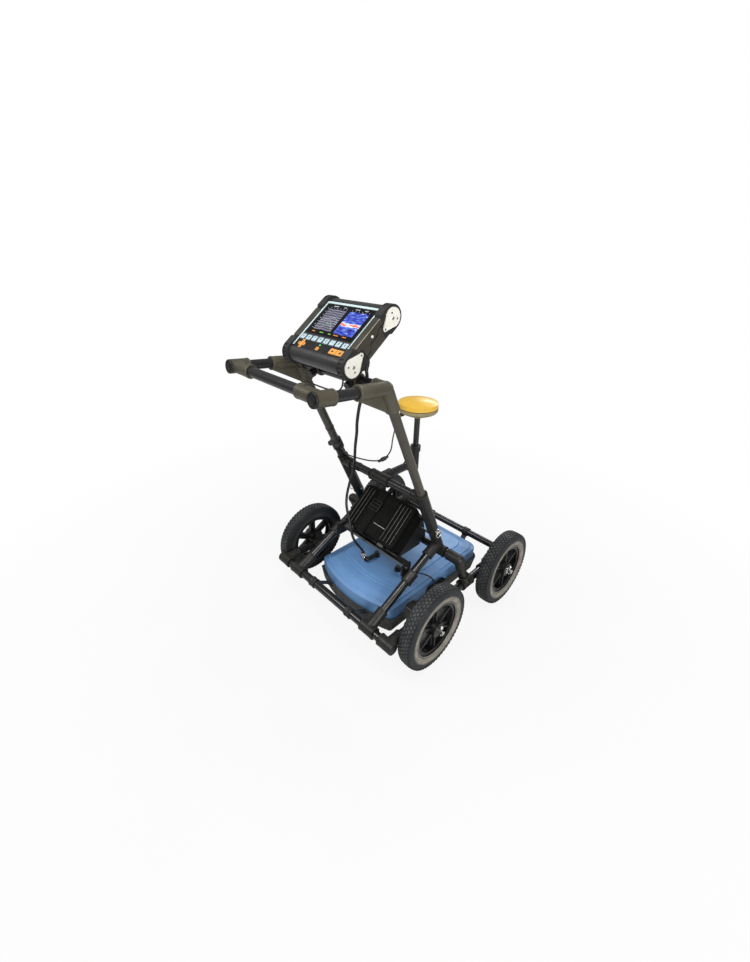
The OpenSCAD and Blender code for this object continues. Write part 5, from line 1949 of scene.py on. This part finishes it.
@dataclass
class Antenna:
    """Slung antenna: moulded blue cover, dark skid, hanger straps."""

    half_w: float = 198.0
    rear: float = -206.0
    front: float = 373.0
    bulge_r: float = 487.7
    front_corner: float = 40.0
    rear_corner: float = 20.0
    ridge_y: float = 96.0
    hold: tuple[Flat, ...] = ((12, 70), (34, 142), (38, 146), (99, 146), (106, 142), (193, 70))
    hold_deep: Flat = (176.0, 240.0)
    hanger_x: float = 102.0
    hanger_w: float = 27.0
    skid_flare: float = 7.0
    skid_rim: float = 104.0

    def build(self) -> None:
        """Moulds the cover, dresses the skid and hangs the straps."""
        dress(("antenna_skid",), SKID)
        self.cover()
        self.hangers()

    def plan(self, grow: float, z: float, shift: float = 0.0, ahead: float = 0.0) -> list[Vector]:
        """Outline of the cover at one height.

        Args:
            grow: how far it stands out from the nominal plan.
            z: its height.
            shift: how far the sides and front alone draw in.
            ahead: how far the rear edge moves forward.

        Returns:
            Points of the outline, always the same number in the same order.
        """
        w = self.half_w + grow - shift
        front = self.front + grow - shift
        r = self.bulge_r + grow
        centre_y = self.rear + self.bulge_r + ahead
        points = []
        for i in range(17):
            a = math.pi / 2 * i / 16
            x = w - self.front_corner + self.front_corner * math.cos(a)
            y = front - self.front_corner + self.front_corner * math.sin(a)
            points.append((x, y))
        points += [(-x, y) for x, y in reversed(points)]
        soft = self.rear_corner
        inner_w, inner_r = w - soft, r - soft
        reach = math.asin(inner_w / inner_r)
        corner_y = centre_y - inner_r * math.cos(reach)
        rear_side = []
        for i in range(13):
            a = -math.pi / 2 + reach + (math.pi / 2 - reach) * (1 - i / 12)
            rear_side.append((inner_w + soft * math.cos(a), corner_y + soft * math.sin(a)))
        points += [(-x, y) for x, y in rear_side]
        for i in range(1, 40):
            a = -reach + 2 * reach * i / 40
            points.append((r * math.sin(a), centre_y - r * math.cos(a)))
        points += list(reversed(rear_side))
        return [Vector((x, y, z)) for x, y in points]

    def cover(self) -> None:
        """Lofts the shell, lays the raised deck on it and cuts the hand holds."""
        bm = bmesh.new()
        section = [
            (-3.4, 96.0), (-2.0, 97.4), (-0.9, 128.0), (-0.3, 144.0), (-0.2, 147.6), (-1.0, 149.6),
            (-2.6, 150.8), (-5.0, 151.8), (-12.6, 154.8), (-13.4, 155.4), (-13.9, 156.8), (-14.6, 157.8),
            (-16.0, 158.2), (-20.0, 158.6), (-24.0, 159.8), (-34.0, 163.6), (-42.0, 166.6), (-46.0, 167.8),
            (-52.0, 168.2),
        ]
        loft(bm, [self.plan(g, z) for g, z in section])
        shell = settle("antenna_shell", bm, BLUE, "cart_frame", 50.0)
        self.cut_holds(shell)
        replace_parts(shell, "antenna_cover")
        steps = (
            ("antenna_step", self.ridge_y - 14.0, 167.0, 48.4),
            ("antenna_deck", self.ridge_y, 170.0, 49.0),
        )
        for name, rear, base, inset in steps:
            bm = bmesh.new()
            rise = [
                (1.6, base - 3), (1.4, base + 0.6), (0.7, base + 1.4),
                (0.2, base + 2.6), (-0.8, base + 3.6), (-2.6, base + 4),
            ]
            loft(bm, [self.plan(g, z, inset, rear) for g, z in rise])
            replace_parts(settle(name, bm, BLUE, "cart_frame", 50.0), "antenna_cover")

    def cut_holds(self, shell: Piece) -> None:
        """Cuts a hand hold into each side of the shell.

        Args:
            shell: the lofted cover.
        """
        bm = bmesh.new()
        for side in BOTH:
            side_prism(bm, self.hold, Matrix.Identity(4), side, self.hold_deep)
        cutter = settle("hand_hold_cutter", bm, BLUE, "cart_frame")
        cut = shell.modifiers.new("holds", "BOOLEAN")
        cut.object = cutter
        cut.operation = "DIFFERENCE"
        cut.solver = "EXACT"
        bpy.context.view_layer.update()
        done = bpy.data.meshes.new_from_object(shell.evaluated_get(bpy.context.evaluated_depsgraph_get()))
        shell.modifiers.clear()
        shell.data = done
        done.shade_smooth()
        done.set_sharp_from_angle(angle=math.radians(40))
        bpy.data.objects.remove(cutter)

    def hangers(self) -> None:
        """Hangs the antenna from the cross tubes in rubber loops whose tails hook over the skid's rim."""
        s = SIZES
        bm = bmesh.new()
        inner = self.hanger_x - self.hanger_w / 2
        rear_face = self.rear + self.bulge_r - math.sqrt(self.bulge_r**2 - inner**2)
        spots = [(s.rear_y, rear_face - 0.3), (s.front_y, self.front + 0.3)]
        half = self.hanger_w / 2
        tube_r = s.tube_d / 2
        edge = [
            (tube_r + 0.1, half), (tube_r + 3.0, half), (tube_r + 4.2, half - 1.6),
            (tube_r + 4.2, half - 4), (tube_r + 3.4, half - 5),
        ]
        ring = [(r, -h) for r, h in edge] + list(reversed(edge))
        for side in BOTH:
            for y, face in spots:
                centre = Vector((side * self.hanger_x, y, s.axle_z))
                turn(bm, ring, centre, RIGHT, 40)
                self.tail(bm, centre, y, face)
        straps = settle("hanger_loops", bm, RUBBER, "cart_frame", 45.0)
        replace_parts(straps, "hanger_straps")

    def tail(self, bm: MeshWork, centre: Vector, y: float, face: float) -> None:
        """Adds the tail of one loop and its hook over the skid's rim.

        Args:
            bm: mesh that takes it.
            centre: middle of the loop.
            y: the tube's place.
            face: the skirt's place.
        """
        away = 1 if face > y else -1
        rim = face - away * (self.skid_flare + 0.3)
        end = Vector((centre.x, rim - away * 1.5, self.skid_rim + 1.8))
        way = (end - centre).normalized()
        start = centre + way * 16
        across = way.cross(RIGHT)
        place = Matrix((RIGHT, way, across)).transposed().to_4x4()
        place = Matrix.Translation((start + end) / 2) @ place
        prism(bm, rounded(self.hanger_w - 3, (end - start).length, 1.0, steps=2), place, (-1.4, 1.4), 0.6)
        outer = Matrix.Translation((centre.x, rim - away * 1.5, self.skid_rim - 6.2))
        prism(bm, rounded(self.hanger_w, 2.9, 1.0, steps=3), outer, (-9.4, 9.4), 0.6)
        over = Matrix.Translation((centre.x, rim + away * 1.6, self.skid_rim + 0.4))
        prism(bm, rounded(self.hanger_w, 9.2, 1.0, steps=3), over, (0.0, 2.8), 0.6)


def main() -> None:
    """Builds the studio and every assembly in order."""
    logging.basicConfig(level=logging.INFO, format="%(name)s: %(message)s")
    assemblies = (
        Studio(), Cables(), Wheels(), TubeFrame(), Console(), Receiver(), BatteryCase(), Antenna(),
    )
    for assembly in assemblies:
        LOG.info("building %s", type(assembly).__name__)
        assembly.build()


if __name__ == "__main__":
    main()
